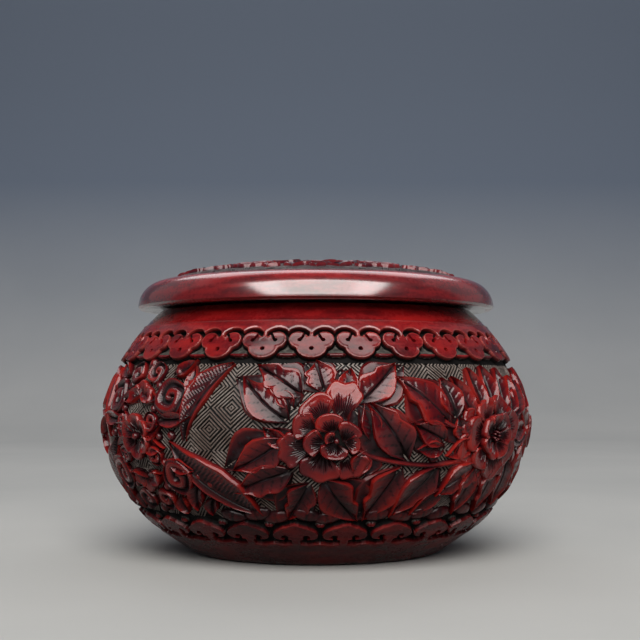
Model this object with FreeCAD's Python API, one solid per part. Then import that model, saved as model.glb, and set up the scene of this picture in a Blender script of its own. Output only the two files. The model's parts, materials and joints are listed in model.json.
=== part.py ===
"""Carved lacquer lidded jar: a turned jar and a lid that lifts off.

Millimetres, +Z up. The origin is the centre of the ring that the jar stands on.
Both halves are turned wood cores under lacquer. The red layer is cut through to
a dark ground, so its borders, blossoms and leaves are separate solids on that
ground. Turned pieces are made in flat facets, the same ones on every piece, so
that layers seat on each other face to face.
"""
import FreeCAD, Part
import math
import os

V = FreeCAD.Vector

# Turning: facets round the axis, and straight cuts along each arc of the wall
facets = 36
red_cuts = {"flank": 3, "waist": 1, "belly": 1, "shoulder": 3}
core_cuts = {"flank": 2, "waist": 1, "belly": 0, "shoulder": 2}
hollow_cuts = {"flank": 2, "waist": 1, "belly": 1, "shoulder": 2}

# Jar outline over the red layer
belly_radius = 70.0
belly_height = 41.7
upper_belly_curve = 23.0
lower_belly_curve = 23.3
upper_turn_deg = 17.0
lower_turn_deg = 11.65
shoulder_rise = 35.8
lip_inset = 19.7
heel_inset = 18.4
heel_height = 7.9
foot_inset = 11.6
lip_height = belly_height + shoulder_rise
lip_radius = belly_radius - lip_inset
heel_radius = belly_radius - heel_inset
foot_radius = heel_radius - foot_inset

# Jar layers and hollow
relief_depth = 2.2
ground_coat_thickness = 1.1
wall_thickness = 8.0
lip_width = 7.8
floor_thickness = 7.0
floor_curve_width = 20.7
foot_ring_width = 9.0
foot_recess_depth = 1.6
recess_coat_thickness = 0.5
mouth_radius = lip_radius - lip_width
foot_ring_inner_radius = foot_radius - foot_ring_width

# Shoulder collar with its hanging ruyi heads
collar_width = 10.6
collar_scallop_rise = 2.4
collar_head_pitch = 11.3
collar_head_width = 12.0
collar_head_drop = 6.4
collar_first_deg = -1.2
collar_edge_height = lip_height - collar_width
collar_heads = round(2 * math.pi * lip_radius / collar_head_pitch)

# Foot band with its standing ruyi heads
foot_band_height = 7.6
foot_head_pitch = 13.5
foot_head_width = 12.4
foot_head_rise = 7.2
foot_first_deg = -6.2
head_root = 1.2
foot_heads = round(2 * math.pi * heel_radius / foot_head_pitch)

# Peony branches and medallions, mirrored to the far side by half a turn
repeat_deg = 180.0
leaf_relief = 1.5
petal_relief = 1.7
heart_relief = 2.2
stem_width = 1.6
stem_relief = 1.3
blossom_radius = 13.6
leaf_width = 8.8
medallion_deg = -51.5
medallion_rosette_radius = 7.2
medallion_petals = 6
fan_petals = 5
medallion_fan_radius = 5.0
blade_width = 7.4
scroll_radius = 4.8
scroll_width = 1.9
scroll_turn_deg = (45, 180, 315)
field_margin = 0.6

# Lid outline over the red layer, heights above its seat
lid_overhang = 7.8
lid_edge_chamfer = 0.8
lid_band_height = 9.1
lid_band_width = 7.8
lid_field_step = 0.7
lid_slope_width = 4.6
lid_slope_rise = 2.0
lid_dome_rise = 4.5
lid_radius = lip_radius + lid_overhang
lid_field_radius = lid_radius - lid_band_width
lid_field_height = lid_band_height + lid_field_step
lid_shoulder_radius = lid_field_radius - lid_slope_width
lid_height = lid_field_height + lid_slope_rise + lid_dome_rise
lid_band_cuts = 3
lid_core_cuts = 1
lid_field_cuts = 2

# Lid layers, hollow and locating ring
lid_band_thickness = 2.6
lid_relief_depth = 1.6
lid_coat_thickness = 1.2
underside_coat_thickness = 0.5
lid_hollow_depth = 5.0
ring_thickness = 2.4
ring_drop = 5.0
ring_clearance = 0.6

# Lid carving
lid_rosette_radius = 13.0
lid_petals = 7
lid_leaves = 8
lid_leaf_width = 10.0
lid_leaf_gap = 2.0
lid_between_leaf_width = 6.4
lid_between_leaf_step = 2.5
lid_buds = 6
lid_bud_radius = 5.4
lid_bud_gap = 2.1
lid_bud_inset = 1.8
lid_rim_leaf_width = 7.0
lid_rim_leaf_gap = 2.6
lid_rim_leaf_inset = 1.0
lid_rim_leaf_turn_deg = 9.0
lid_bud_reach = lid_shoulder_radius - lid_bud_inset - lid_bud_radius
lid_leaf_root = lid_rosette_radius + lid_leaf_gap
lid_leaf_tip = lid_bud_reach - lid_bud_radius - lid_bud_gap
lid_rim_leaf_root = lid_leaf_tip + lid_rim_leaf_gap
lid_rim_leaf_tip = lid_shoulder_radius - lid_rim_leaf_inset

# Cutting: how far a cutter runs past its work, the shortest edge, and flat cuts along each arc
overrun = 5.0
least_edge = 0.01
head_flats = 2
petal_flats = 3
heart_flats = 2
scroll_flats = 3
stem_flats = 4

# Outlines, as shares of a width (across) and a height (down from the root)
head_neck_share = 0.17
head_lobe_shares = ((0.17, -0.06), (0.50, -0.36), (0.27, -0.72))
head_tip_shares = ((0.27, -0.72), (0.0, -1.0), (-0.27, -0.72))
leaf_side_shares = ((0.20, 0.58), (0.42, 1.0), (0.68, 0.60))
small_leaf_side_shares = ((0.45, 1.0),)
petal_valley_share = 0.84
heart_share = 0.30
heart_petals = 4
lid_whorl_share = 0.62

# Branch places: azimuths in degrees from the front, and heights as shares of the lip's height
blossom_places_shares = {
    "main": (4.5, 0.49, 1.0, ((1.0, 7), (0.64, 5))),
    "side": (51.0, 0.49, 0.86, ((1.0, 7), (0.60, 4))),
    "young": (84.0, 0.50, 0.60, ((1.0, 5),)),
}
leaf_places_shares = (
    (-6.6, 0.555, -16.9, 0.727), (-3.3, 0.653, -13.7, 0.757), (2.0, 0.679, 1.1, 0.772),
    (10.8, 0.632, 19.7, 0.764), (21.7, 0.415, 13.1, 0.617), (32.9, 0.551, 21.2, 0.711),
    (32.0, 0.466, 23.2, 0.537), (20.9, 0.378, 15.3, 0.20), (31.1, 0.379, 22.3, 0.217),
    (-8.6, 0.493, -18.9, 0.363), (-6.3, 0.366, -18.6, 0.330), (-1.5, 0.312, -6.4, 0.205),
    (2.1, 0.334, 11.3, 0.20), (36.0, 0.561, 33.0, 0.70), (45.5, 0.37, 35.7, 0.276),
    (50.0, 0.38, 47.0, 0.225), (61.2, 0.40, 61.8, 0.25), (62.0, 0.60, 56.0, 0.75),
    (66.0, 0.52, 71.0, 0.70), (68.0, 0.42, 75.0, 0.27), (80.0, 0.60, 83.0, 0.76),
    (88.0, 0.58, 98.0, 0.70), (92.0, 0.46, 101.0, 0.38), (85.0, 0.40, 88.0, 0.23),
)
stem_places_shares = (
    ((11.0, 0.43), (21.0, 0.385), (36.0, 0.42)),
    ((66.0, 0.50), (71.0, 0.46), (76.0, 0.48)),
)

# Medallion places: azimuths from its middle, heights as shares of the field's half height
medallion_blade_shares = ((17.5, 0.03), (31.0, 0.95))
medallion_scroll_shares = (13.5, 0.55)
medallion_fan_share = 0.70


def unit(degrees):
    """Return cosine and sine of an angle in degrees."""
    angle = math.radians(degrees)
    return math.cos(angle), math.sin(angle)


def joined_arc(start, normal, end):
    """Return centre and radius of the arc from start to end that leaves start square to normal."""
    across, up = end[0] - start[0], end[1] - start[1]
    radius = -(across**2 + up**2) / (2 * (across * normal[0] + up * normal[1]))
    return (start[0] - radius * normal[0], start[1] - radius * normal[1]), radius


def wall_arcs():
    """Return the wall's arcs from heel to lip: name, centre, radius, first and last angle."""
    upper = (belly_radius - upper_belly_curve, belly_height)
    lower = (belly_radius - lower_belly_curve, belly_height)
    up_normal, down_normal = unit(upper_turn_deg), unit(-lower_turn_deg)
    top = (upper[0] + upper_belly_curve * up_normal[0],
           upper[1] + upper_belly_curve * up_normal[1])
    waist = (lower[0] + lower_belly_curve * down_normal[0],
             lower[1] + lower_belly_curve * down_normal[1])
    heel = (heel_radius, heel_height)
    shoulder, shoulder_radius = joined_arc(top, up_normal, (lip_radius, lip_height))
    flank, flank_radius = joined_arc(waist, down_normal, heel)
    heel_deg = math.degrees(math.atan2(heel[1] - flank[1], heel[0] - flank[0]))
    return (
        ("flank", flank, flank_radius, heel_deg, -lower_turn_deg),
        ("waist", lower, lower_belly_curve, -lower_turn_deg, 0),
        ("belly", upper, upper_belly_curve, 0, upper_turn_deg),
        ("shoulder", shoulder, shoulder_radius, upper_turn_deg, None),
    )


def wall_stations(depth, cuts):
    """Return (radius, height) up the wall at a depth under the red layer, foot to lip."""
    taper = math.hypot(foot_inset, heel_height) / heel_height
    stations = [(foot_radius - depth * taper, 0)]
    for name, centre, radius, first, last in wall_arcs():
        inner = radius - depth
        if last is None:
            last = math.degrees(math.asin((lip_height - centre[1]) / inner))
        for step in range(cuts[name]):
            across, up = unit(first + (last - first) * step / cuts[name])
            stations.append((centre[0] + inner * across, centre[1] + inner * up))
    across, up = unit(last)
    return stations + [(centre[0] + inner * across, centre[1] + inner * up)]


def turned(outline):
    """Return the solid of a closed (radius, height) outline turned in flat facets."""
    rings = []
    for radius, height in outline:
        ring = []
        for index in range(facets):
            across, along = unit(360 * index / facets)
            ring.append(V(radius * across, radius * along, height))
        rings.append(ring)
    faces = []
    for (first, first_ring), (last, last_ring) in zip(
            zip(outline, rings), zip(outline[1:] + outline[:1], rings[1:] + rings[:1])):
        if first[0] == 0 and last[0] == 0:
            continue
        if first[1] == last[1] and 0 in (first[0], last[0]):
            rim = first_ring if first[0] else last_ring
            faces.append(Part.Face(Part.makePolygon(rim + rim[:1])))
            continue
        for index in range(facets):
            after = (index + 1) % facets
            corners = [first_ring[index]]
            if first[0]:
                corners.append(first_ring[after])
            if last[0]:
                corners.append(last_ring[after])
            corners.append(last_ring[index])
            corners = [c for n, c in enumerate(corners) if c != corners[n - 1]]
            faces.append(Part.Face(Part.makePolygon(corners + corners[:1])))
    shell = Part.Shell(faces)
    shell.sewShape()
    solid = Part.Solid(shell)
    if solid.Volume < 0:
        solid.reverse()
    return solid


def slab(low, high):
    """Return a block that holds all of the jar between two heights."""
    half = belly_radius + overrun
    block = Part.makeBox(2 * half, 2 * half, high - low)
    block.translate(V(-half, -half, low))
    return block


def on_wall(face, azimuth):
    """Return a flat (across, up) face as a radial prism at an azimuth; 0 is the front."""
    prism = face.extrude(V(0, -(belly_radius + overrun), 0))
    prism.rotate(V(0, 0, 0), V(0, 0, 1), azimuth)
    return prism


def arc(first, middle, last, flats):
    """Return points along the arc through three (across, up) points, in flat cuts."""
    curve = Part.Arc(*[V(x, 0, z) for x, z in (first, middle, last)])
    low, high = curve.FirstParameter, curve.LastParameter
    points = [curve.value(low + (high - low) * step / flats) for step in range(flats + 1)]
    return [(p.x, p.z) for p in points]


def face_of(points, centre=(0, 0), turn_deg=0):
    """Return the face inside (across, up) points, turned about its own origin and put at centre."""
    corners = []
    for x, z in points:
        corner = V(x, 0, z)
        if not corners or corner.distanceToPoint(corners[-1]) > least_edge:
            corners.append(corner)
    if corners[0].distanceToPoint(corners[-1]) <= least_edge:
        corners.pop()
    face = Part.Face(Part.makePolygon(corners + corners[:1]))
    face.rotate(V(0, 0, 0), V(0, 1, 0), -turn_deg)
    face.translate(V(centre[0], 0, centre[1]))
    return face


def ruyi_face(width, height, root, centre_height, hangs):
    """Return one ruyi head: a neck, two side lobes and a tip."""
    way = 1 if hangs else -1
    neck = head_neck_share * width

    def placed(shares, side=1):
        return [(side * x * width, way * z * height) for x, z in shares]

    points = [(-neck, way * root), (neck, way * root)]
    points += arc(*placed(head_lobe_shares), head_flats)
    points += arc(*placed(head_tip_shares), head_flats)
    points += arc(*placed(head_lobe_shares, -1)[::-1], head_flats)
    return face_of(points, (0, centre_height))


def scallop_face(width):
    """Return the space under one scallop, from cusp to cusp."""
    half = width / 2
    points = arc((-half, 0), (0, collar_scallop_rise), (half, 0), head_flats)
    points += [(half, -collar_scallop_rise), (-half, -collar_scallop_rise)]
    return face_of(points, (0, collar_edge_height))


def leaf_face(length, width, centre=(0, 0), turn_deg=0, side_shares=leaf_side_shares):
    """Return a leaf with its side points and a pointed tip; its stalk end is its own origin."""
    side = [(length * along, width / 2 * out) for along, out in side_shares]
    other = [(along, -out) for along, out in side[::-1]]
    return face_of([(0, 0)] + side + [(length, 0)] + other, centre, turn_deg)


def rosette_face(radius, petals, centre=(0, 0), flats=petal_flats):
    """Return a round blossom outline with one arc for each petal."""
    valley = radius * petal_valley_share
    points = []
    for index in range(petals):
        corners = []
        for step, reach in ((-0.5, valley), (0, radius), (0.5, valley)):
            across, up = unit(360 * (index + step) / petals)
            corners.append((reach * across, reach * up))
        points += arc(*corners, flats)
    return face_of(points, centre)


def scroll_face(radius, width, centre, opening_deg):
    """Return a C scroll: a band bent to three quarters of a ring."""
    inner = radius - width
    outside = [tuple(radius * share for share in unit(a)) for a in scroll_turn_deg]
    inside = [tuple(inner * share for share in unit(a)) for a in scroll_turn_deg[::-1]]
    points = arc(*outside, scroll_flats) + arc(*inside, scroll_flats)
    return face_of(points, centre, opening_deg)


def joined(shapes):
    """Return shapes as one, fused where they meet."""
    whole = shapes[0].multiFuse(shapes[1:]) if len(shapes) > 1 else shapes[0]
    return whole.removeSplitter()


def half_turned(shape):
    """Return the shape's copy on the far side of the jar."""
    far = shape.copy()
    far.rotate(V(0, 0, 0), V(0, 0, 1), repeat_deg)
    return far


def wall_radius(height):
    """Return the red layer's radius at a height."""
    for name, centre, radius, first, last in wall_arcs():
        if last is None or height <= centre[1] + radius * unit(last)[1]:
            return centre[0] + math.sqrt(radius**2 - (height - centre[1])**2)


def seen_from(azimuth, place):
    """Return a place (azimuth, height share) as (across, up) seen square on from an azimuth."""
    height = place[1] * lip_height
    return wall_radius(height) * unit(place[0] - azimuth)[1], height


def field_limits():
    """Return the lowest and highest height of the carving between the two borders."""
    low = foot_band_height + foot_head_rise + field_margin
    return low, collar_edge_height - collar_head_drop - field_margin


class Wall:
    """The jar's outer surface at every depth that the carver leaves."""

    def __init__(self):
        self.blanks = {}
        self.ground = self.at(relief_depth)
        self.core = turned([(0, 0)] + core_stations() + [(0, lip_height)])
        self.field = slab(*field_limits())

    def at(self, depth):
        """Return the full solid at a depth under the red layer."""
        if depth not in self.blanks:
            outline = [(0, 0)] + wall_stations(depth, red_cuts) + [(0, lip_height)]
            self.blanks[depth] = turned(outline)
        return self.blanks[depth]

    def carved(self, prisms, relief):
        """Return prisms cut to lie on the ground and to stand up by a relief."""
        top = self.at(relief_depth - relief).common(self.field)
        return Part.Compound(prisms).common(top).cut(self.ground)


def core_stations():
    """Return the core's outer outline under both coats, in long straight cuts."""
    return wall_stations(relief_depth + ground_coat_thickness, core_cuts)


def hollow_stations():
    """Return the hollow's outline from the floor's centre to the mouth."""
    arcs = {name: rest for name, *rest in wall_arcs()}
    centre, radius, heel_deg, _ = arcs["flank"]
    across, up = unit(heel_deg)
    reach = radius - wall_thickness
    heel = (centre[0] + reach * across, centre[1] + reach * up)
    edge = (heel[0] - floor_curve_width, floor_thickness)
    floor_centre, floor_curve = joined_arc(edge, (0, -1), heel)
    turn = math.atan2(heel[0] - floor_centre[0], floor_centre[1] - heel[1]) / 2
    middle = (floor_centre[0] + floor_curve * math.sin(turn),
              floor_centre[1] - floor_curve * math.cos(turn))
    stations = [(0, floor_thickness), edge, middle]
    for name, cuts in hollow_cuts.items():
        centre, radius, first, last = arcs[name]
        reach = radius - wall_thickness
        if last is None:
            last = math.degrees(math.acos((mouth_radius - centre[0]) / reach))
        for step in range(cuts):
            across, up = unit(first + (last - first) * step / cuts)
            stations.append((centre[0] + reach * across, centre[1] + reach * up))
    across, up = unit(last)
    stations.append((mouth_radius, centre[1] + reach * up))
    return stations + [(mouth_radius, lip_height)]


def make_jar_core():
    """Turned wood core with its hollow, mouth, lip and foot ring."""
    outline = [(0, foot_recess_depth), (foot_ring_inner_radius, foot_recess_depth),
               (foot_ring_inner_radius, 0)]
    return turned(outline + core_stations() + hollow_stations()[::-1])


def make_recess_coat():
    """Black coat on the flat under the foot, inside the foot ring."""
    low = foot_recess_depth - recess_coat_thickness
    radius = foot_ring_inner_radius
    return turned([(0, low), (radius, low), (radius, foot_recess_depth), (0, foot_recess_depth)])


def make_ground_coat(wall):
    """Dark ground between the collar and the foot band, laid on the core."""
    top = collar_edge_height + collar_scallop_rise
    return wall.ground.common(slab(foot_band_height, top)).cut(wall.core)


def make_collar(wall):
    """Smooth shoulder band, scalloped, with a ruyi head hanging from each cusp."""
    pitch_deg = 360 / collar_heads
    red = wall.at(0)
    band = red.common(slab(collar_edge_height, lip_height)).cut(wall.core)
    band = band.cut(wall.ground.common(slab(0, collar_edge_height + collar_scallop_rise)))
    width = 2 * math.pi * wall_radius(collar_edge_height) / collar_heads
    head = ruyi_face(collar_head_width, collar_head_drop, head_root, collar_edge_height, True)
    spaces, heads = [], []
    for index in range(collar_heads):
        azimuth = collar_first_deg + index * pitch_deg
        spaces.append(on_wall(scallop_face(width), azimuth + pitch_deg / 2))
        heads.append(on_wall(head, azimuth))
    band = band.cut(Part.Compound(spaces))
    hung = Part.Compound(heads).common(red).cut(wall.ground)
    return joined([band] + hung.Solids)


def make_foot_band(wall):
    """Plain band over the foot with a row of ruyi heads that stand on it."""
    pitch_deg = 360 / foot_heads
    red = wall.at(0)
    band = red.common(slab(0, foot_band_height)).cut(wall.core)
    head = ruyi_face(foot_head_width, foot_head_rise, head_root, foot_band_height, False)
    heads = [on_wall(head, foot_first_deg + index * pitch_deg) for index in range(foot_heads)]
    above = slab(foot_band_height - head_root, belly_height)
    stood = Part.Compound(heads).common(red).common(above).cut(wall.ground)
    return joined([band] + stood.Solids)


def blossom_outline(name):
    """Return a blossom's radial prism, as wide as its outer whorl."""
    azimuth, share, size_share, whorls = blossom_places_shares[name]
    petals = whorls[0][1]
    face = rosette_face(blossom_radius * size_share, petals, (0, share * lip_height))
    return on_wall(face, azimuth)


def make_blossom(wall, name):
    """Peony in whorls, each higher than the one round it, with its heart on top."""
    azimuth, share, size_share, whorls = blossom_places_shares[name]
    radius, centre = blossom_radius * size_share, (0, share * lip_height)
    step = (heart_relief - petal_relief) / len(whorls)
    levels = []
    for index, (reach_share, petals) in enumerate(whorls):
        prism = on_wall(rosette_face(radius * reach_share, petals, centre), azimuth)
        levels.append(wall.carved([prism], petal_relief + index * step))
    heart_face = rosette_face(radius * heart_share, heart_petals, centre, heart_flats)
    levels.append(wall.carved([on_wall(heart_face, azimuth)], heart_relief))
    return joined(levels)


def make_leaves(wall, blossoms):
    """Leaves of one branch, tucked in behind its blossoms."""
    prisms = []
    for first_deg, first_share, last_deg, last_share in leaf_places_shares:
        middle = (first_deg + last_deg) / 2
        root = seen_from(middle, (first_deg, first_share))
        tip = seen_from(middle, (last_deg, last_share))
        length = math.hypot(tip[0] - root[0], tip[1] - root[1])
        turn = math.degrees(math.atan2(tip[1] - root[1], tip[0] - root[0]))
        prisms.append(on_wall(leaf_face(length, leaf_width, root, turn), middle))
    whole = prisms[0].multiFuse(prisms[1:])
    return wall.carved([whole.cut(Part.Compound(blossoms))], leaf_relief)


def make_stems(wall, others):
    """Bent stalks that tie the blossoms of one branch together."""
    prisms = []
    for places in stem_places_shares:
        middle = places[1][0]
        seen = [seen_from(middle, place) for place in places]
        half = stem_width / 2
        points = arc(*[(x, z + half) for x, z in seen], stem_flats)
        points += arc(*[(x, z - half) for x, z in seen[::-1]], stem_flats)
        prisms.append(on_wall(face_of(points), middle))
    return wall.carved([Part.Compound(prisms).cut(Part.Compound(others))], stem_relief)


def make_medallion(wall):
    """Four blades and four scrolls round a rosette, with a fan above and below."""
    low, high = field_limits()
    middle, half = (low + high) / 2, (high - low) / 2
    (root_deg, root_share), (tip_deg, tip_share) = medallion_blade_shares
    scroll_deg, scroll_share = medallion_scroll_shares
    low_level = []
    for way in (1, -1):
        place = (0, middle + way * half * medallion_fan_share)
        fan = rosette_face(medallion_fan_radius, fan_petals, place, heart_flats)
        low_level.append(on_wall(fan, medallion_deg))
    for side in (1, -1):
        for way in (1, -1):
            azimuth = medallion_deg + side * (root_deg + tip_deg) / 2
            root_height, tip_height = (middle + way * half * s for s in (root_share, tip_share))
            root = seen_from(azimuth, (medallion_deg + side * root_deg, root_height / lip_height))
            tip = seen_from(azimuth, (medallion_deg + side * tip_deg, tip_height / lip_height))
            length = math.hypot(tip[0] - root[0], tip[1] - root[1])
            turn = math.degrees(math.atan2(tip[1] - root[1], tip[0] - root[0]))
            low_level.append(on_wall(leaf_face(length, blade_width, root, turn), azimuth))
            place = (0, middle + way * half * scroll_share)
            curl = scroll_face(scroll_radius, scroll_width, place, 90 - way * 90 - side * way * 45)
            low_level.append(on_wall(curl, medallion_deg + side * scroll_deg))
    rosette_radius = medallion_rosette_radius
    rosette = on_wall(rosette_face(rosette_radius, medallion_petals, (0, middle)), medallion_deg)
    heart_face = rosette_face(rosette_radius * heart_share, heart_petals, (0, middle), heart_flats)
    heart = on_wall(heart_face, medallion_deg)
    parts = [wall.carved([prism], leaf_relief) for prism in low_level]
    parts += [wall.carved([rosette], petal_relief), wall.carved([heart], heart_relief)]
    solids = [solid for part in parts for solid in part.Solids]
    return joined(solids)


def lid_arc_points(depth, cuts):
    """Return the lid band's quarter round at a depth under its surface, edge to field."""
    start = (lid_radius, lid_edge_chamfer)
    centre, radius = joined_arc(start, (1, 0), (lid_field_radius, lid_band_height))
    last = math.degrees(math.asin(min(1, (lid_band_height - centre[1]) / radius)))
    points = []
    for step in range(cuts + 1):
        across, up = unit(last * step / cuts)
        points.append((centre[0] + (radius - depth) * across, centre[1] + (radius - depth) * up))
    return points


def field_stations(depth):
    """Return the lid's domed field at a depth under its carving, edge to middle."""
    radius = (lid_shoulder_radius**2 + lid_dome_rise**2) / (2 * lid_dome_rise)
    shoulder_deg = math.degrees(math.asin(lid_shoulder_radius / radius))
    stations = [(lid_field_radius, lid_field_height - depth)]
    for step in range(lid_field_cuts + 1):
        up, across = unit(shoulder_deg * (1 - step / lid_field_cuts))
        stations.append((radius * across if step < lid_field_cuts else 0,
                         lid_height - radius * (1 - up) - depth))
    return stations


def lifted(outline):
    """Return an outline moved up to the lid's seat on the lip."""
    return [(radius, height + lip_height) for radius, height in outline]


def core_edge():
    """Return the lid core's edge under the band, from the seat to the field."""
    inner = lid_arc_points(lid_band_thickness, lid_core_cuts)
    top = (lid_field_radius, field_stations(lid_relief_depth + lid_coat_thickness)[0][1])
    inside = [point for point in inner[:-1] if point[1] < top[1]]
    return [(inner[0][0], underside_coat_thickness)] + inside + [top]


def make_lid_core():
    """Turned disc of the lid, hollowed under, with a seat for the locating ring."""
    seat = ring_outer_radius()
    outline = [(0, lid_hollow_depth), (seat, lid_hollow_depth), (seat, underside_coat_thickness)]
    outline += core_edge() + field_stations(lid_relief_depth + lid_coat_thickness)[1:]
    return turned(lifted(outline))


def ring_outer_radius():
    """Return the locating ring's radius, which clears the mouth."""
    return mouth_radius - ring_clearance


def make_locating_ring():
    """Thin ring under the lid that drops into the mouth."""
    outer = ring_outer_radius()
    inner = outer - ring_thickness
    low, high = -ring_drop, lid_hollow_depth
    return turned(lifted([(inner, low), (outer, low), (outer, high), (inner, high)]))


def make_hollow_coat():
    """Black coat on the ceiling of the lid's hollow."""
    radius = ring_outer_radius() - ring_thickness
    low = lid_hollow_depth - underside_coat_thickness
    return turned(lifted([(0, low), (radius, low), (radius, lid_hollow_depth),
                          (0, lid_hollow_depth)]))


def make_underside_coat():
    """Black coat under the lid, which rests on the jar's lip."""
    inner, outer = ring_outer_radius(), core_edge()[0][0]
    top = underside_coat_thickness
    return turned(lifted([(inner, 0), (outer, 0), (outer, top), (inner, top)]))


def make_lid_band():
    """Smooth red band round the lid's edge."""
    outer = lid_arc_points(0, lid_band_cuts)
    edge = core_edge()
    outline = [(edge[0][0], 0), (lid_radius - lid_edge_chamfer, 0)] + outer
    return turned(lifted(outline + edge[::-1]))


def make_field_coat():
    """Dark ground of the lid's domed field."""
    top = field_stations(lid_relief_depth)
    under = field_stations(lid_relief_depth + lid_coat_thickness)
    return turned(lifted(top + under[::-1]))


def on_lid(face, reach, azimuth):
    """Return a face drawn upright as a standing prism at a reach from the lid's middle."""
    flat = face.copy()
    flat.rotate(V(0, 0, 0), V(1, 0, 0), -90)
    flat.translate(V(reach, 0, 0))
    prism = flat.extrude(V(0, 0, lip_height + lid_height + overrun))
    prism.rotate(V(0, 0, 0), V(0, 0, 1), azimuth - 90)
    return prism


def make_lid_carving():
    """Peony on the lid: whorls in the middle, leaves round them, and buds and leaves at the rim."""
    def dome(depth):
        stations = field_stations(depth)
        return turned(lifted([(0, 0)] + [(stations[0][0], 0)] + stations))

    ground = dome(lid_relief_depth)
    low = dome(lid_relief_depth - leaf_relief)
    high = dome(0)
    leaf = leaf_face(lid_leaf_tip - lid_leaf_root, lid_leaf_width)
    leaves = [on_lid(leaf, lid_leaf_root, 360 * n / lid_leaves) for n in range(lid_leaves)]
    between_root = lid_leaf_root + lid_between_leaf_step
    between_leaf = leaf_face(lid_leaf_tip - between_root, lid_between_leaf_width,
                             side_shares=small_leaf_side_shares)
    leaves += [on_lid(between_leaf, between_root, 360 * (n + 0.5) / lid_leaves)
               for n in range(lid_leaves)]
    rim_leaf = leaf_face(lid_rim_leaf_tip - lid_rim_leaf_root, lid_rim_leaf_width,
                         side_shares=small_leaf_side_shares)
    for n in range(lid_buds):
        for turn_deg in (-lid_rim_leaf_turn_deg, lid_rim_leaf_turn_deg):
            leaves.append(on_lid(rim_leaf, lid_rim_leaf_root, 360 * n / lid_buds + turn_deg))
    bud = rosette_face(lid_bud_radius, fan_petals, flats=heart_flats)
    buds = [on_lid(bud, lid_bud_reach, 360 * (n + 0.5) / lid_buds) for n in range(lid_buds)]
    outer = on_lid(rosette_face(lid_rosette_radius, lid_petals), 0, 0)
    inner = on_lid(rosette_face(lid_rosette_radius * lid_whorl_share, fan_petals), 0, 0)
    parts = {
        "lid_leaves": Part.Compound(leaves).common(low).cut(ground),
        "lid_buds": Part.Compound(buds).common(low).cut(ground),
        "lid_peony": joined([outer.common(low).cut(ground), inner.common(high).cut(ground)]),
    }
    return parts


def show(name, shape):
    """Write one sub-part and print what it is."""
    solids = shape.Solids
    whole = solids[0] if len(solids) == 1 else Part.Compound(solids)
    whole.exportStep(os.path.join("parts", name + ".step"))
    print(name, len(solids), "solids", round(whole.Volume), "mm3", whole.isValid())


def main():
    """Build every sub-part."""
    os.makedirs("parts", exist_ok=True)
    wall = Wall()
    show("jar_core", make_jar_core())
    show("foot_recess_coat", make_recess_coat())
    show("ground_coat", make_ground_coat(wall))
    show("shoulder_collar", make_collar(wall))
    show("foot_band", make_foot_band(wall))
    blossoms = {name: make_blossom(wall, name) for name in blossom_places_shares}
    outlines = [blossom_outline(name) for name in blossom_places_shares]
    leaves = make_leaves(wall, outlines)
    stems = make_stems(wall, outlines + leaves.Solids)
    medallion = make_medallion(wall)
    for name, shape in blossoms.items():
        show("front_" + name + "_blossom", shape)
        show("back_" + name + "_blossom", half_turned(shape))
    for name, shape in (("leaves", leaves), ("stems", stems)):
        show("front_" + name, shape)
        show("back_" + name, half_turned(shape))
    show("left_medallion", medallion)
    show("right_medallion", half_turned(medallion))
    show("lid_core", make_lid_core())
    show("lid_locating_ring", make_locating_ring())
    show("lid_hollow_coat", make_hollow_coat())
    show("lid_underside_coat", make_underside_coat())
    show("lid_band", make_lid_band())
    show("lid_field_coat", make_field_coat())
    for name, shape in make_lid_carving().items():
        show(name, shape)


if __name__ == "__main__":
    main()
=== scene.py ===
"""Looks of a carved lacquer lidded jar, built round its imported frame.

Sizes are millimetres and degrees until a point is placed; every mesh is in metres.
Azimuth 0 is the front, and it grows to the viewer's right. Relief is worked out as a
lift above the dark ground, on the jar's wall or on the lid's dome, and each carved
body is a grid of its own that stands on that ground. No leaf, scroll or petal rises
past its TOP, just under the surface of the red layer.
"""
import json
import logging
import math
from abc import ABC, abstractmethod
from dataclasses import dataclass, field
from enum import Enum
from typing import Sequence

import bmesh
import bpy
import numpy as np
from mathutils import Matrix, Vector


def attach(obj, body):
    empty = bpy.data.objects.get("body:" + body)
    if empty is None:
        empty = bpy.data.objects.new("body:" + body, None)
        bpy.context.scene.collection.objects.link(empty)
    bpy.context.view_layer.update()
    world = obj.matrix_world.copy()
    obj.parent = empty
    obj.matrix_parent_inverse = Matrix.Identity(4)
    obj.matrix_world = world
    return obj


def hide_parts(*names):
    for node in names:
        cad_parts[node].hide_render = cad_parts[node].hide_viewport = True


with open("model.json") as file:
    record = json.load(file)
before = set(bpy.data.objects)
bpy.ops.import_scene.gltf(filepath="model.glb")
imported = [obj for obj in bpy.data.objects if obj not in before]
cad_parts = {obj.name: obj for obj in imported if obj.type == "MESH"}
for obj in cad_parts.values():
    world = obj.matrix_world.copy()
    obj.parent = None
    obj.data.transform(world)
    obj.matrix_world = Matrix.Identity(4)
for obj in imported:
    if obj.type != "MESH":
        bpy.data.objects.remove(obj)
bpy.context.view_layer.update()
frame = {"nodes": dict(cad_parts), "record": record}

MM = 0.001
Array = np.ndarray
Point = tuple[float, float]
BMesh, Edge = bmesh.types.BMesh, bmesh.types.BMEdge
Mesh, Material, Socket = bpy.types.Mesh, bpy.types.Material, bpy.types.NodeSocket
LEAF_TOP = 2.62
PETAL_TOP = 2.64
log = logging.getLogger("jar")


def smooth(values: Array, low: float, high: float) -> Array:
    """Return a soft step that is 0 up to low and 1 from high."""
    share = np.clip((values - low) / (high - low), 0, 1)
    return share * share * (3 - 2 * share)


def bump(values: Array, middle: float, spread: float) -> Array:
    """Return a round bump of height 1 about a middle."""
    return np.exp(-((values - middle) / spread) ** 2)


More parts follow.
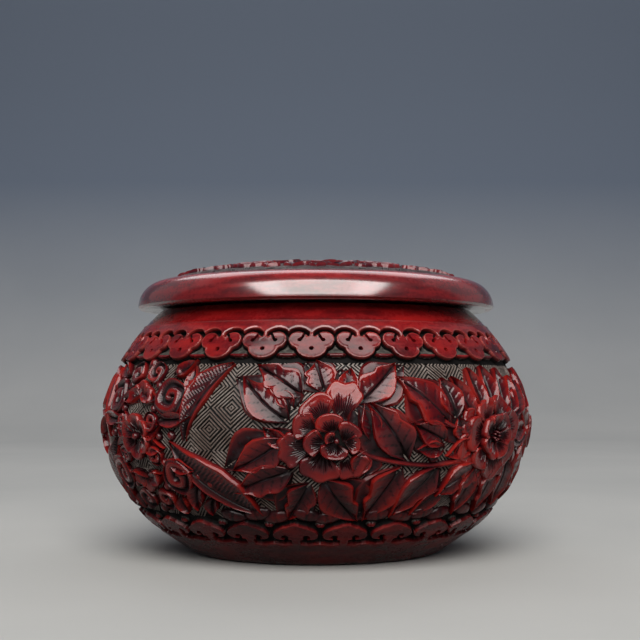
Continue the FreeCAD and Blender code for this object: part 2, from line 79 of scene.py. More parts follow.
def grooves(phase: Array, power: float) -> Array:
    """Return fine lines, 1 at each whole number of a phase and narrower with power."""
    return (0.5 + 0.5 * np.cos(2 * np.pi * phase)) ** power


def unit(degrees: float) -> Point:
    """Return the cosine and sine of an angle in degrees."""
    return math.cos(math.radians(degrees)), math.sin(math.radians(degrees))


@dataclass(frozen=True)
class Arc:
    """One arc of a turned outline, as (radius from the axis, height)."""

    centre: Point
    radius: float
    first: float
    last: float

    def points(self, depth: float = 0, count: int = 24) -> list[Point]:
        """Return points along the arc.

        Args:
            depth: how far inside the arc they lie.
            count: how many steps are taken.

        Returns:
            The points from the first angle to the last.
        """
        reach = self.radius - depth
        turns = [unit(a) for a in np.linspace(self.first, self.last, count + 1)]
        return [(self.centre[0] + reach * c, self.centre[1] + reach * s) for c, s in turns]


def joined_arc(start: Point, first: float, end: Point) -> Arc:
    """Return the arc between two points that has a given angle at its start.

    Args:
        start: the point where the arc starts.
        first: the angle of the arc's radius there.
        end: the point where it ends.

    Returns:
        The arc from start to end.
    """
    across, up = end[0] - start[0], end[1] - start[1]
    out, rise = unit(first)
    radius = -(across**2 + up**2) / (2 * (across * out + up * rise))
    centre = (start[0] - radius * out, start[1] - radius * rise)
    last = math.degrees(math.atan2(end[1] - centre[1], end[0] - centre[0]))
    return Arc(centre, radius, first, last)


def rounded(corners: Sequence[tuple[float, float, float]], steps: int = 4) -> list[Point]:
    """Return an outline with its corners rounded.

    Args:
        corners: radius, height and how far along its sides each corner is rounded.
        steps: how many steps each rounding takes.

    Returns:
        The outline's points.
    """
    points: list[Point] = []
    for index, (radius, height, fillet) in enumerate(corners):
        here = Vector((radius, height))
        if not fillet:
            points.append((radius, height))
            continue
        before = Vector(corners[index - 1][:2]) - here
        after = Vector(corners[(index + 1) % len(corners)][:2]) - here
        start, end = here + before.normalized() * fillet, here + after.normalized() * fillet
        for step in range(steps + 1):
            share = step / steps
            spot = start.lerp(here, share).lerp(here.lerp(end, share), share)
            points.append((spot.x, spot.y))
    return points


@dataclass(frozen=True)
class JarShape:
    """Driving sizes of the jar's outside and hollow."""

    belly_radius: float = 70.0
    belly_height: float = 41.7
    upper_curve: float = 23.0
    lower_curve: float = 23.3
    upper_turn: float = 17.0
    lower_turn: float = 11.65
    lip: Point = (50.3, 77.5)
    heel: Point = (51.6, 7.9)
    foot_radius: float = 40.0
    wall: float = 8.0
    mouth_radius: float = 42.5
    floor: float = 7.0
    floor_curve_width: float = 20.7
    ring_inner_radius: float = 31.0
    recess: float = 1.6
    recess_coat: float = 0.5
    coat_gap: float = 0.05
    core_depth: float = 3.3
    seat_radius: float = 45.1
    ring_lip: Point = (0.4, 0.3)
    ring_round: Point = (0.8, 0.6)
    ring_outer_radius: float = 34.0
    mouth_steps: tuple[Point, ...] = ((0, 0.6), (0.2, 0.15), (0.7, 0))
    mouth_rise: float = 0.6
    core_ends: Point = (3.0, 76.0)
    ground_ends: Point = (7.0, 70.5)
    ground_bite: float = 0.02

    def arcs(self) -> list[Arc]:
        """Work out the wall's four arcs.

        Returns:
            The arcs from the heel up to the lip.
        """
        upper = Arc((self.belly_radius - self.upper_curve, self.belly_height),
                    self.upper_curve, 0, self.upper_turn)
        lower = Arc((self.belly_radius - self.lower_curve, self.belly_height),
                    self.lower_curve, -self.lower_turn, 0)
        shoulder = joined_arc(upper.points()[-1], self.upper_turn, self.lip)
        flank = joined_arc(lower.points()[0], -self.lower_turn, self.heel)
        return [Arc(flank.centre, flank.radius, flank.last, flank.first), lower, upper, shoulder]


class Meridian:
    """A turned surface's outline, walked by its length from its lower end."""

    def __init__(self, points: Sequence[Point]) -> None:
        """Measure an outline.

        Args:
            points: its (radius, height) points from the lower end.
        """
        self.radius, self.height = (np.array(axis, float) for axis in zip(*points))
        steps = np.hypot(np.diff(self.radius), np.diff(self.height))
        keep = np.concatenate(([True], steps > 1e-6))
        self.radius, self.height = self.radius[keep], self.height[keep]
        steps = np.hypot(np.diff(self.radius), np.diff(self.height))
        self.length = np.concatenate(([0], np.cumsum(steps)))
        across = np.gradient(self.radius, self.length)
        up = np.gradient(self.height, self.length)
        self.out, self.rise = up / np.hypot(across, up), -across / np.hypot(across, up)

    def at(self, length: Array) -> tuple[Array, Array, Array, Array]:
        """Return radius, height and outward normal at lengths along the outline."""
        return tuple(np.interp(length, self.length, values)
                     for values in (self.radius, self.height, self.out, self.rise))

    def length_at(self, height: float) -> float:
        """Return the length at which the outline reaches a height."""
        return float(np.interp(height, self.height, self.length))


@dataclass(frozen=True)
class Spot:
    """Where a carved body stands: azimuth, height or reach, and how it is turned."""

    azimuth: float
    height: float
    turn: float = 0.0

    def turned(self, x: Array, y: Array) -> tuple[Array, Array]:
        """Return a body's own x and y as steps across and up the surface."""
        cosine, sine = unit(self.turn)
        return x * cosine - y * sine, x * sine + y * cosine


class Surface(ABC):
    """A surface that carries carving, at every height above its dark ground."""

    @abstractmethod
    def points(self, spot: Spot, x: Array, y: Array, lift: Array) -> Array:
        """Return points in metres for steps across and up from a spot."""

    @abstractmethod
    def step(self, spot: Spot, azimuth: float, height: float) -> Point:
        """Return the steps from a spot to another azimuth and height."""

    def between(self, base: Point, tip: Point) -> tuple[Spot, float]:
        """Return the spot and length of a body that grows from base to tip.

        Args:
            base: azimuth and height of its stalk end.
            tip: azimuth and height of its tip.

        Returns:
            The spot turned towards the tip, and the length.
        """
        across, up = self.step(Spot(*base), *tip)
        turn = math.degrees(math.atan2(up, across)) - 90
        return Spot(base[0], base[1], turn), math.hypot(across, up)


class JarWall(Surface):
    """The jar's wall, from its foot to its lip."""

    relief: float = 2.7

    def __init__(self, shape: JarShape) -> None:
        """Join the straight foot and the wall's arcs in one outline.

        Args:
            shape: the jar's sizes.
        """
        foot = np.linspace((shape.foot_radius, 0), shape.heel, 16)
        points = [tuple(point) for point in foot]
        for arc in shape.arcs():
            points += arc.points()
        self.meridian = Meridian(points)

    def ring(self, angle: Array, along: Array, lift: Array) -> Array:
        """Return points at azimuths in radians, lengths up the wall and lifts."""
        radius, height, out, rise = self.meridian.at(along)
        radius = radius - (self.relief - lift) * out
        height = height - (self.relief - lift) * rise
        return np.column_stack((radius * np.sin(angle), -radius * np.cos(angle), height)) * MM

    def points(self, spot: Spot, x: Array, y: Array, lift: Array) -> Array:
        """Return points in metres for steps across and up from a spot."""
        across, up = spot.turned(x, y)
        along = self.meridian.length_at(spot.height) + up
        radius = self.meridian.at(along)[0]
        return self.ring(math.radians(spot.azimuth) + across / radius, along, lift)

    def step(self, spot: Spot, azimuth: float, height: float) -> Point:
        """Return the steps from a spot to another azimuth and height."""
        start, end = (self.meridian.length_at(h) for h in (spot.height, height))
        radius = self.meridian.at((start + end) / 2)[0]
        return math.radians(azimuth - spot.azimuth) * radius, end - start


@dataclass(frozen=True)
class LidShape:
    """Driving sizes of the lid; heights count from its seat on the lip."""

    seat: float = 77.5
    radius: float = 58.1
    chamfer: float = 0.8
    band_height: float = 9.1
    band_steps: tuple[Point, ...] = ((0.9, -0.12), (0.55, 0.02), (0.2, 0), (0, -0.3))
    band_back: tuple[Point, ...] = ((50.3, 6.8), (53.95, 4.71), (55.5, 0.8))
    field_radius: float = 50.3
    field_height: float = 9.8
    slope_radius: float = 45.7
    slope_height: float = 11.8
    height: float = 16.3
    relief: float = 1.8
    calm_radius: float = 43.0
    field_gap: float = 0.2
    coat: float = 1.2
    core_edge: float = 55.5
    underside: float = 0.5
    hollow: float = 5.0
    ring_radius: float = 41.9
    ring_thickness: float = 2.4
    ring_drop: float = 5.0

    def dome(self) -> list[Point]:
        """Work out the field's outline.

        Returns:
            The points from its middle to its edge, with heights from the floor.
        """
        rise = self.height - self.slope_height
        radius = (self.slope_radius**2 + rise**2) / (2 * rise)
        edge = math.degrees(math.acos(self.slope_radius / radius))
        arc = Arc((0, self.height - radius), radius, 90, edge)
        points = arc.points(count=30) + [(self.field_radius, self.field_height)]
        return [(r, z + self.seat) for r, z in points]


class LidDome(Surface):
    """The lid's domed field; a spot's height is its reach from the lid's middle."""

    def __init__(self, shape: LidShape) -> None:
        """Keep the field's outline."""
        self.relief, self.calm = shape.relief, shape.calm_radius
        self.edge = shape.field_radius - shape.field_gap
        self.radius, self.height = (np.array(axis, float) for axis in zip(*shape.dome()))

    def drawn_in(self, reach: Array) -> Array:
        """Return how far points keep of their reach, so that none passes the field's edge."""
        room = self.edge - self.calm
        past = np.maximum(reach - self.calm, 0) / room
        kept = np.minimum(reach, self.calm) + room * (1 - np.exp(-past))
        return kept / np.maximum(reach, 1e-9)

    def points(self, spot: Spot, x: Array, y: Array, lift: Array) -> Array:
        """Place a body on the dome.

        Args:
            spot: where it stands.
            x: steps across.
            y: steps outwards.
            lift: heights above the dark ground.

        Returns:
            The points in metres.
        """
        across, up = spot.turned(x, y)
        cosine, sine = unit(spot.azimuth)
        reach = spot.height + up
        plan_x = across * cosine + reach * sine
        plan_y = across * sine - reach * cosine
        kept = self.drawn_in(np.hypot(plan_x, plan_y))
        plan_x, plan_y = plan_x * kept, plan_y * kept
        top = np.interp(np.hypot(plan_x, plan_y), self.radius, self.height)
        return np.column_stack((plan_x, plan_y, top - self.relief + lift)) * MM

    def step(self, spot: Spot, azimuth: float, height: float) -> Point:
        """Return the steps from a spot to another azimuth and reach."""
        cosine, sine = unit(azimuth - spot.azimuth)
        return height * sine, height * cosine - spot.height


@dataclass
class Relief:
    """What a carved form gives for its grid: places, lifts, and two shades for its finish."""

    x: Array
    y: Array
    lift: Array
    carve: Array
    rim: Array


class Form(ABC):
    """A carved body's form over a grid, u from root to tip and v from side to side."""

    cells: tuple[int, int]

    @abstractmethod
    def shape(self, u: Array, v: Array) -> Relief:
        """Return the relief at grid places u (0 to 1) and v (-1 to 1)."""


class LeafEdge(Enum):
    """Half outlines of leaves: shares of the length and of the half width."""

    LOBED = ((0, .06), (.07, .42), (.18, .86), (.28, 1), (.38, .88), (.47, .78), (.55, .94),
             (.64, .86), (.74, .50), (.88, .22), (1, .02))
    BROAD = ((0, .06), (.06, .36), (.17, .76), (.34, 1), (.50, .96), (.66, .72), (.82, .40),
             (.93, .15), (1, .02))
    SHOULDERED = ((0, .06), (.08, .46), (.19, .94), (.28, 1.02), (.40, .84), (.54, .62),
                  (.64, .72), (.74, .52), (.88, .20), (1, .02))
    BLADE = ((0, .06), (.10, .30), (.26, .68), (.48, 1), (.68, .92), (.86, .52), (1, .04))
    SPINE = ((0, .04), (.20, .16), (.50, .30), (.80, .20), (1, .02))

    def half_width(self, u: Array) -> Array:
        """Work out the outline with its corners rounded off.

        Args:
            u: shares of the length.

        Returns:
            The half widths there.
        """
        shares = np.linspace(0, 1, 121)
        widths = np.interp(shares, *zip(*self.value))
        brush = np.hanning(11) / np.hanning(11).sum()
        soft = np.convolve(np.pad(widths, 5, "edge"), brush, "valid")
        return np.interp(u, shares, np.where(shares > 0.97, widths, soft))


BROAD, LOBED, SHOULDERED = LeafEdge.BROAD, LeafEdge.LOBED, LeafEdge.SHOULDERED


@dataclass(frozen=True)
class Leaf(Form):
    """A leaf with a cut vein, fine side veins, a dished face and a rolled rim."""

    length: float
    width: float
    left: LeafEdge = LOBED
    right: LeafEdge = LOBED
    lift: float = 1.5
    tilt: float = 0.3
    bow: float = 0.6
    dish: float = 0.75
    veins: int = 6
    hatched: int = 0
    root_dip: float = 0.8
    phase: float = 0.0
    # How much darker the whole leaf is coloured: painted shade for low leaves that lie under
    # others.
    shade: float = 0.0
    cells: tuple[int, int] = (40, 28)

    def shape(self, u: Array, v: Array) -> Relief:
        """Work out the relief.

        Args:
            u: places from root to tip, 0 to 1.
            v: places from side to side, -1 to 1.

        Returns:
            The relief.
        """
        side = np.where(v < 0, self.left.half_width(u), self.right.half_width(u))
        away = np.abs(v)
        out = away * side * self.width / 2
        x = np.sign(v) * out + self.bow * 4 * u * (1 - u)
        y = u * self.length + 0.36 * out * (1 - 0.7 * u)
        vein = bump(out, 0, 0.30) * (1 - smooth(u, 0.84, 0.97))
        reach = smooth(away, 0.10, 0.26) * (1 - smooth(away, 0.70, 0.84))
        lines = grooves(u * self.veins - 0.65 * away + self.phase, 26)
        if self.hatched:
            lines = 1.7 * grooves(u * self.length / 0.95 + 1.2 * v, 1.6)
            reach = smooth(away, 0.08, 0.2) * (1 - smooth(away, 0.80, 0.9)) * (v * self.hatched > 0)
        # rim marks the rolled edge, which the finish lightens as wear and painted highlight.
        rim = smooth(away, 0.80, 0.93)
        wave = np.sin(2 * np.pi * (1.6 * u + self.phase)) * away**2 * np.sign(v)
        face = smooth(away, 0.15, 1.0) - 0.45
        lift = self.lift + self.dish * face + 0.20 * bump(away, 0.87, 0.08)
        lift += self.tilt * v + 0.09 * wave + 0.22 * np.sin(np.pi * u)
        lift -= 0.60 * vein + 0.16 * lines * reach + 0.50 * smooth(away, 0.94, 1.0)
        lift -= self.root_dip * (1 - smooth(u, 0.0, 0.22)) + 0.25 * smooth(u, 0.9, 1.0)
        # Painted shade and highlight: carve is lower in the vein, the side veins, at the root and
        # by the leaf's shade, and higher towards the edges.
        carve = 0.56 + 0.42 * smooth(away, 0.15, 0.88) - 0.56 * vein - 0.34 * lines * reach
        carve -= 0.40 * (1 - smooth(u, 0.0, 0.3)) + self.shade
        return Relief(x, y, np.minimum(lift, LEAF_TOP), carve, rim)


@dataclass(frozen=True)
class Petal(Form):
    """A fan of a petal: dished, cut with lines from its root, with a rolled rim."""

    length: float
    spread: float = 60.0
    low: float = 0.7
    high: float = 1.9
    lines: int = 13
    ruffles: float = 2.0
    ruffle: float = 0.035
    root: float = 0.10
    phase: float = 0.0
    cells: tuple[int, int] = (26, 40)

    def shape(self, u: Array, v: Array) -> Relief:
        """Work out the relief.

        Args:
            u: places from root to tip, 0 to 1.
            v: places from side to side, -1 to 1.

        Returns:
            The relief.
        """
        angle = np.radians(v * self.spread / 2)
        wave = np.cos(self.ruffles * np.pi * v + self.phase)
        reach = self.length * (1 - 0.20 * np.abs(v) ** 3) * (1 + self.ruffle * wave)
        share = self.root + (1 - self.root) * u
        lift = self.low + (self.high - self.low) * smooth(share, 0.10, 0.94)
        lift += 0.20 * bump(share, 0.90, 0.055) - 0.60 * smooth(share, 0.95, 1.0)
        lift += 0.14 * wave * share**2 - 0.30 * smooth(np.abs(v), 0.90, 1.0)
        lift += 0.18 * bump(np.abs(v), 0.84, 0.10) * smooth(share, 0.2, 0.7)
        cut = grooves(v * self.lines / 2, 1.6) * smooth(share, 0.14, 0.24)
        cut = cut * (1 - smooth(share + 0.06 * np.cos(11 * v), 0.56, 0.74))
        lift = lift - 0.26 * cut
        # Painted shade and highlight: carve is low at the root and in the cut lines, high towards
        # the rim; rim marks the edge, lightened as wear and painted highlight.
        carve = 0.40 + 0.52 * smooth(share, 0.30, 0.80) - 0.45 * cut
        rim = np.maximum(smooth(share, 0.82, 0.92), 0.6 * bump(np.abs(v), 0.88, 0.10))
        return Relief(reach * share * np.sin(angle), reach * share * np.cos(angle),
                      np.minimum(lift, PETAL_TOP), carve, rim)


@dataclass(frozen=True)
class Scroll(Form):
    """A round volute: one band that winds in to an eye, with fine cuts across it."""

    radius: float
    hand: int = 1
    turns: float = 1.5
    lift: float = 2.2
    corners: float = 0.05
    start: float = 0.0
    cells: tuple[int, int] = (30, 72)

    def shape(self, u: Array, v: Array) -> Relief:
        """Work out the relief.

        Args:
            u: places from root to tip, 0 to 1.
            v: places from side to side, -1 to 1.

        Returns:
            The relief.
        """
        angle = np.pi * v
        share = 0.05 + 0.95 * u
        outline = 1 + self.corners * np.cos(4 * angle) - 0.06 * np.cos(angle - self.start)
        reach = self.radius * outline * share
        winding = share * self.turns - self.hand * angle / (2 * np.pi) + self.start / (2 * np.pi)
        groove = grooves(winding, 3.2) * (1 - smooth(share, 0.90, 0.98))
        band = 1 - grooves(winding, 1.0)
        cuts = grooves(18 * angle / np.pi, 2.4) * bump(band, 0.55, 0.3) * smooth(share, 0.3, 0.5)
        lift = self.lift * (0.80 + 0.20 * share) - 1.25 * groove - 0.16 * cuts
        lift += 0.16 * bump(band, 0.92, 0.1) - 0.55 * smooth(share, 0.94, 1.0)
        lift -= 0.9 * (1 - smooth(share, 0.05, 0.16))
        # Painted shade and highlight: carve is low in the winding groove, the fine cuts and the
        # eye; rim marks the band's crest, lightened as wear and painted highlight.
        carve = 0.92 - 1.0 * groove - 0.4 * cuts - 0.5 * (1 - smooth(share, 0.05, 0.2))
        return Relief(reach * np.sin(angle), reach * np.cos(angle),
                      np.minimum(lift, LEAF_TOP), carve, smooth(band, 0.75, 0.95))


@dataclass(frozen=True)
class Bead(Form):
    """A round or oval boss, such as a heart, a bud or a dot."""

    across: float
    along: float
    lift: float = 1.8
    edge: float = 0.4
    lines: int = 0
    cells: tuple[int, int] = (12, 12)

    def shape(self, u: Array, v: Array) -> Relief:
        """Work out the relief.

        Args:
            u: places from root to tip, 0 to 1.
            v: places from side to side, -1 to 1.

        Returns:
            The relief.
        """
        w = 2 * u - 1
        x, y = v * np.sqrt(1 - w * w / 2), w * np.sqrt(1 - v * v / 2)
        out = np.hypot(x, y)
        cut = grooves(x * self.lines / 2, 3) * (1 - smooth(out, 0.7, 0.9)) if self.lines else 0 * x
        swell = np.sqrt(np.clip(1 - out**2.4, 0, 1))
        lift = self.edge + (self.lift - self.edge) * swell - 0.15 * cut
        # Painted shade and highlight: carve falls towards the foot and in the lines; rim is a ring
        # on the crown, lightened as wear and painted highlight.
        return Relief(x * self.across, y * self.along, lift, 0.9 - 0.5 * out**2 - 0.5 * cut,
                      bump(out, 0.3, 0.35) * 0.6)


@dataclass(frozen=True)
class Stem(Form):
    """A stalk through points across and up from its spot."""

    route: tuple[Point, ...]
    width: float = 1.8
    lift: float = 1.5
    taper: float = 0.4
    cells: tuple[int, int] = (40, 8)

    def shape(self, u: Array, v: Array) -> Relief:
        """Work out the relief.

        Args:
            u: places from root to tip, 0 to 1.
            v: places from side to side, -1 to 1.

        Returns:
            The relief.
        """
        spots = np.array(self.route, float)
        knots = np.linspace(0, 1, len(spots))
        order = len(spots) - 1
        paths = [np.polynomial.Polynomial.fit(knots, spots[:, axis], order) for axis in (0, 1)]
        across, up = (path(u) for path in paths)
        slope_x, slope_y = (path.deriv()(u) for path in paths)
        size = np.hypot(slope_x, slope_y)
        half = self.width / 2 * (1 - self.taper * u)
        lift = self.lift * np.sqrt(np.clip(1 - 0.75 * v * v, 0, 1)) - 0.12 * grooves(v * 2 + 0.5, 4)
        # Painted shade and highlight: carve falls towards the stalk's sides; rim is a stripe along
        # one side of its crown, lightened as wear and painted highlight.
        return Relief(across - v * half * slope_y / size, up + v * half * slope_x / size,
                      lift, 0.85 - 0.5 * v * v, bump(v, 0.35, 0.3))


def positions(verts: Sequence) -> Array:
    """Return the places of a mesh's or a bmesh's vertices, in order."""
    return np.array([vert.co[:] for vert in verts], float)


def drawn_out(bm: BMesh, edges: list[Edge],
              level: int) -> list[Edge]:
    """Extrude edges in place, and mark the new vertices by their z.

    Args:
        bm: the bmesh that carries them.
        edges: the edges.
        level: the z that the new vertices get.

    Returns:
        The new edges.
    """
    made = bmesh.ops.extrude_edge_only(bm, edges=edges)["geom"]
    for part in made:
        if isinstance(part, bmesh.types.BMVert):
            part.co.z = level
    return [part for part in made if isinstance(part, Edge)]


def shaded(mesh: Mesh, points: Array, carve: Array | float,
           rim: Array | float = 0, side: Array | float = 0) -> Mesh:
    """Place a mesh's vertices and store the shades that its finish reads.

    Args:
        mesh: the mesh.
        points: its vertices' places in metres.
        carve: 0 in the deepest cuts to 1 on the top; the finishes paint low carve dark, as painted
            shade.
        rim: 1 along raised rims, which the finishes lighten, as wear and painted highlight.
        side: 1 at the foot of cut walls.

    Returns:
        The same mesh.
    """
    mesh.vertices.foreach_set("co", points.astype(np.float32).ravel())
    for name, values in (("carve", carve), ("rim", rim), ("side", side)):
        shades = np.broadcast_to(np.clip(values, 0, 1), len(points))
        layer = mesh.attributes.new(name, "FLOAT", "POINT")
        layer.data.foreach_set("value", shades.astype(np.float32))
    mesh.update()
    return mesh


def to_mesh(bm: BMesh, name: str) -> Mesh:
    """Return a bmesh as a new mesh, and free it."""
    mesh = bpy.data.meshes.new(name)
    bm.to_mesh(mesh)
    bm.free()
    return mesh


def poured(bm: BMesh, mesh: Mesh) -> BMesh:
    """Add a mesh to a bmesh, remove the mesh, and return the bmesh."""
    bm.from_mesh(mesh)
    bpy.data.meshes.remove(mesh)
    return bm


class Piece:
    """One finished piece of the jar: its mesh, its body, its slot and its finish."""

    def __init__(self, name: str, body: str, slot: str, finish: Material) -> None:
        """Name the piece, the body that it rides on and the finish that it gets."""
        self.name, self.body, self.slot, self.finish = name, body, slot, finish

    def put(self, mesh: Mesh, *nodes: str, sharp: float = 38.0) -> None:
        """Show a mesh as this piece.

        Args:
            mesh: the finished mesh.
            nodes: the CAD nodes that it stands for.
            sharp: the angle in degrees past which an edge stays crisp.
        """
        mesh.name = self.name
        mesh.shade_smooth()
        mesh.set_sharp_from_angle(angle=math.radians(sharp))
        mesh.materials.clear()
        mesh.materials.append(self.finish)
        piece = bpy.data.objects.new(self.name, mesh)
        bpy.context.scene.collection.objects.link(piece)
        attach(piece, self.body)
        if nodes:
            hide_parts(*nodes)
        log.info("%s: %d faces on %s", self.name, len(mesh.polygons), self.body)


class Carving:
    """Carved bodies that stand on one surface, gathered in one mesh."""

    sunk: float = -0.35

    def __init__(self, surface: Surface) -> None:
        """Start an empty carving on a surface."""
        self.surface = surface
        self.bm = bmesh.new()

    def add(self, form: Form, spot: Spot) -> None:
        """Cut one closed body: a grid with walls down into the ground.

        Args:
            form: the body's form.
            spot: where it stands.
        """
        body = bmesh.new()
        bmesh.ops.create_grid(body, x_segments=form.cells[0], y_segments=form.cells[1], size=1.0)
        hem = drawn_out(body, [edge for edge in body.edges if edge.is_boundary], -1)
        bmesh.ops.edgeloop_fill(body, edges=hem)
        places = positions(body.verts)
        made = form.shape((places[:, 0] + 1) / 2, places[:, 1])
        low = places[:, 2] < 0
        lift = np.where(low, self.sunk, made.lift)
        points = self.surface.points(spot, made.x, made.y, lift)
        # The hem under the ground gets carve 0, so the finish paints each wall darker towards its
        # foot, as painted shade.
        carve, rim = (np.where(low, 0, values) for values in (made.carve, made.rim))
        poured(self.bm, shaded(to_mesh(body, "body"), points, carve, rim, low))

    def grow(self, base: Point, tip: Point, **sizes: object) -> None:
        """Cut a leaf from base to tip, both given as azimuth and height."""
        spot, length = self.surface.between(base, tip)
        self.add(Leaf(length=length, **sizes), spot)

    def mesh(self) -> Mesh:
        """Return the gathered bodies as one mesh, faces outwards."""
        bmesh.ops.recalc_face_normals(self.bm, faces=self.bm.faces[:])
        return to_mesh(self.bm, "carving")


def spun(outline: Sequence[Point], steps: int, carve: float) -> Mesh:
    """Return the closed turned solid of an outline.

    Args:
        outline: closed (radius, height) outline in millimetres.
        steps: facets round the axis.
        carve: the shade of its plain surface.

    Returns:
        The mesh.
    """
    bm = bmesh.new()
    verts = [bm.verts.new((radius * MM, 0, height * MM)) for radius, height in outline]
    pairs = zip(verts, verts[1:] + verts[:1])
    edges = [bm.edges.new(pair) for pair in pairs if max(v.co.x for v in pair) > 0]
    bmesh.ops.spin(bm, geom=verts + edges, axis=(0, 0, 1), cent=(0, 0, 0), dvec=(0, 0, 0),
                   angle=2 * math.pi, steps=steps, use_merge=True, use_duplicate=False)
    bmesh.ops.remove_doubles(bm, verts=bm.verts[:], dist=1e-7)
    bmesh.ops.recalc_face_normals(bm, faces=bm.faces[:])
    places = positions(bm.verts)
    return shaded(to_mesh(bm, "turned"), places, carve)


class Fringe(ABC):
    """A border cut round the jar, a row of ruyi heads beside a plain band.

    The red is wherever distance() is below 0. A fine grid follows that outline: points
    near it are moved onto it, so the cut edge is crisp.
    """

    heads: int
    first: float
    edge_height: float
    columns: int = 48
    floor: float = 0.5
    # How strongly the red plates' edges are lightened: wear and painted highlight.
    wear_and_highlight: float = 1.0
    edge_round: float = 0.14
    edge_width: float = 0.24
    dish: float = 0.12
    rim_width: Point = (0.10, 0.34)
    cell: float = 0.16
    seam: float = 2e-6

    def __init__(self, wall: JarWall) -> None:
        """Cut the border on a wall, its heads' roots at the edge height."""
        self.wall = wall
        self.origin = wall.meridian.length_at(self.edge_height)

    @abstractmethod
    def plate(self, x: Array, y: Array) -> Array:
        """Return the distance in millimetres to the red layer's outline, its eyes uncut."""

    @abstractmethod
    def eyes(self, x: Array, y: Array) -> Array:
        """Return the distance to the eyes and hooks that are cut through the red layer."""

    def distance(self, x: Array, y: Array) -> Array:
        """Return the distance in millimetres to the red layer, below 0 inside."""
        return np.maximum(self.plate(x, y), -self.eyes(x, y))

    @abstractmethod
    def low_parts(self, x: Array, y: Array) -> tuple[Array, Array]:
        """Return the lift and the shade of lesser parts that stand in the cut ground."""

    @abstractmethod
    def rows(self) -> Array:
        """Return the rows of the grid, as lengths up the wall from the head's root."""

    @abstractmethod
    def ends(self) -> tuple[Point, Point]:
        """Return the hidden (radius, height) that closes the lower and the upper edge."""

    @abstractmethod
    def profile(self, y: Array) -> Array:
        """Return how far the plain band stands above the red layer's own surface."""

    @abstractmethod
    def dished(self, y: Array) -> Array:
        """Return 1 where the red is dished like a head, and 0 on the plain band."""

    @staticmethod
    def disc(x: Array, y: Array, centre: Point, radius: float) -> Array:
        """Return the distance to a disc and to its mirror image across x = 0."""
        return np.hypot(np.abs(x) - centre[0], y - centre[1]) - radius

    @staticmethod
    def oval(x: Array, y: Array, centre: Point, radii: Point) -> Array:
        """Return about the distance to an oval and to its mirror image."""
        size = np.hypot((np.abs(x) - centre[0]) / radii[0], (y - centre[1]) / radii[1])
        return (size - 1) * min(radii)

    @staticmethod
    def channel(x: Array, y: Array, start: Point, end: Point, half: float) -> Array:
        """Return the distance to a round-ended groove and to its mirror image."""
        along = np.array(end) - np.array(start)
        from_x, from_y = np.abs(x) - start[0], y - start[1]
        share = np.clip((from_x * along[0] + from_y * along[1]) / (along @ along), 0, 1)
        return np.hypot(from_x - share * along[0], from_y - share * along[1]) - half

    @staticmethod
    def join(first: Array, second: Array, blend: float) -> Array:
        """Return the distance to two shapes that run together over a blend."""
        share = np.clip(0.5 + 0.5 * (second - first) / blend, 0, 1)
        return second + (first - second) * share - blend * share * (1 - share)

    def strip(self, count: int) -> BMesh:
        """Make a flat grid with a hidden back, z -1 and 1 at its two hems.

        Args:
            count: how many rows it has.

        Returns:
            The strip.
        """
        bm = bmesh.new()
        bmesh.ops.create_grid(bm, x_segments=self.heads * self.columns, y_segments=count - 1,
                              size=1.0)
        sides = {way: [edge for edge in bm.edges if edge.is_boundary
                       and all(way * vert.co.y > 0.999 for vert in edge.verts)]
                 for way in (-1, 1)}
        hems = [drawn_out(bm, side, way) for way, side in sides.items()]
        bmesh.ops.bridge_loops(bm, edges=hems[0] + hems[1])
        return bm

    def mesh(self) -> Mesh:
        """Cut the border.

        Returns:
            One closed ring.
        """
        rows = self.rows()
        bm = self.strip(len(rows))
        places = positions(bm.verts)
        turn = (places[:, 0] + 1) / 2 * self.heads
        y = np.interp((places[:, 1] + 1) / 2 * (len(rows) - 1), np.arange(len(rows)), rows)
        along = self.origin + y
        pitch = 2 * math.pi * self.wall.meridian.at(along)[0] / self.heads
        centre = np.floor(turn) + 0.5
        x = (turn - centre) * pitch
        x, y = self.snapped(x, y)
        away = self.distance(x, y)
        inside = away < 0.03
        deep = -self.plate(x, y)
        top = self.wall.relief - self.edge_round * (1 - smooth(deep, 0.0, self.edge_width))
        top = top - self.dish * smooth(deep, 0.25, 0.60) * self.dished(y) + self.profile(y)
        low, shade = self.low_parts(x, y)
        edge = smooth(np.abs(y - self.open_edge(rows)), 0.0, 0.5)
        lift = np.where(inside, top, low * edge - 0.12 * (1 - edge))
        # Painted shade: the plates' dishes are a little darker, and off the plates the low parts'
        # shade is used, so the cut walls darken towards the floor.
        carve = np.where(inside, 0.92 - 0.10 * smooth(deep, 0.3, 0.9) * self.dished(y), shade)
        filled = smooth(shade, 0.1, 0.3) * (1 - smooth(shade, 0.5, 0.7))
        # rim lightens the plates' edges in the finish, as wear and painted highlight; off the
        # plates it marks the grey fillers.
        rim = np.where(inside, self.wear_and_highlight * (1 - smooth(deep, *self.rim_width)), filled)
        angle = (centre + x / pitch) * 2 * math.pi / self.heads
        angle = angle + math.radians(self.first) - math.pi / self.heads
        points = self.wall.ring(angle, self.origin + y, lift)
        for way, (radius, height) in zip((-1, 1), self.ends()):
            hidden = places[:, 2] == way
            points[hidden] = np.column_stack((radius * np.sin(angle[hidden]),
                                              -radius * np.cos(angle[hidden]),
                                              np.full(hidden.sum(), height))) * MM
        whole = poured(bmesh.new(), shaded(to_mesh(bm, "border"), points, carve, rim))
        seam = [vert for vert in whole.verts if vert.is_boundary]
        bmesh.ops.remove_doubles(whole, verts=seam, dist=self.seam)
        bmesh.ops.recalc_face_normals(whole, faces=whole.faces[:])
        return to_mesh(whole, "border")

    def open_edge(self, rows: Array) -> float:
        """Return the row where the border meets the open ground."""
        return rows[0]

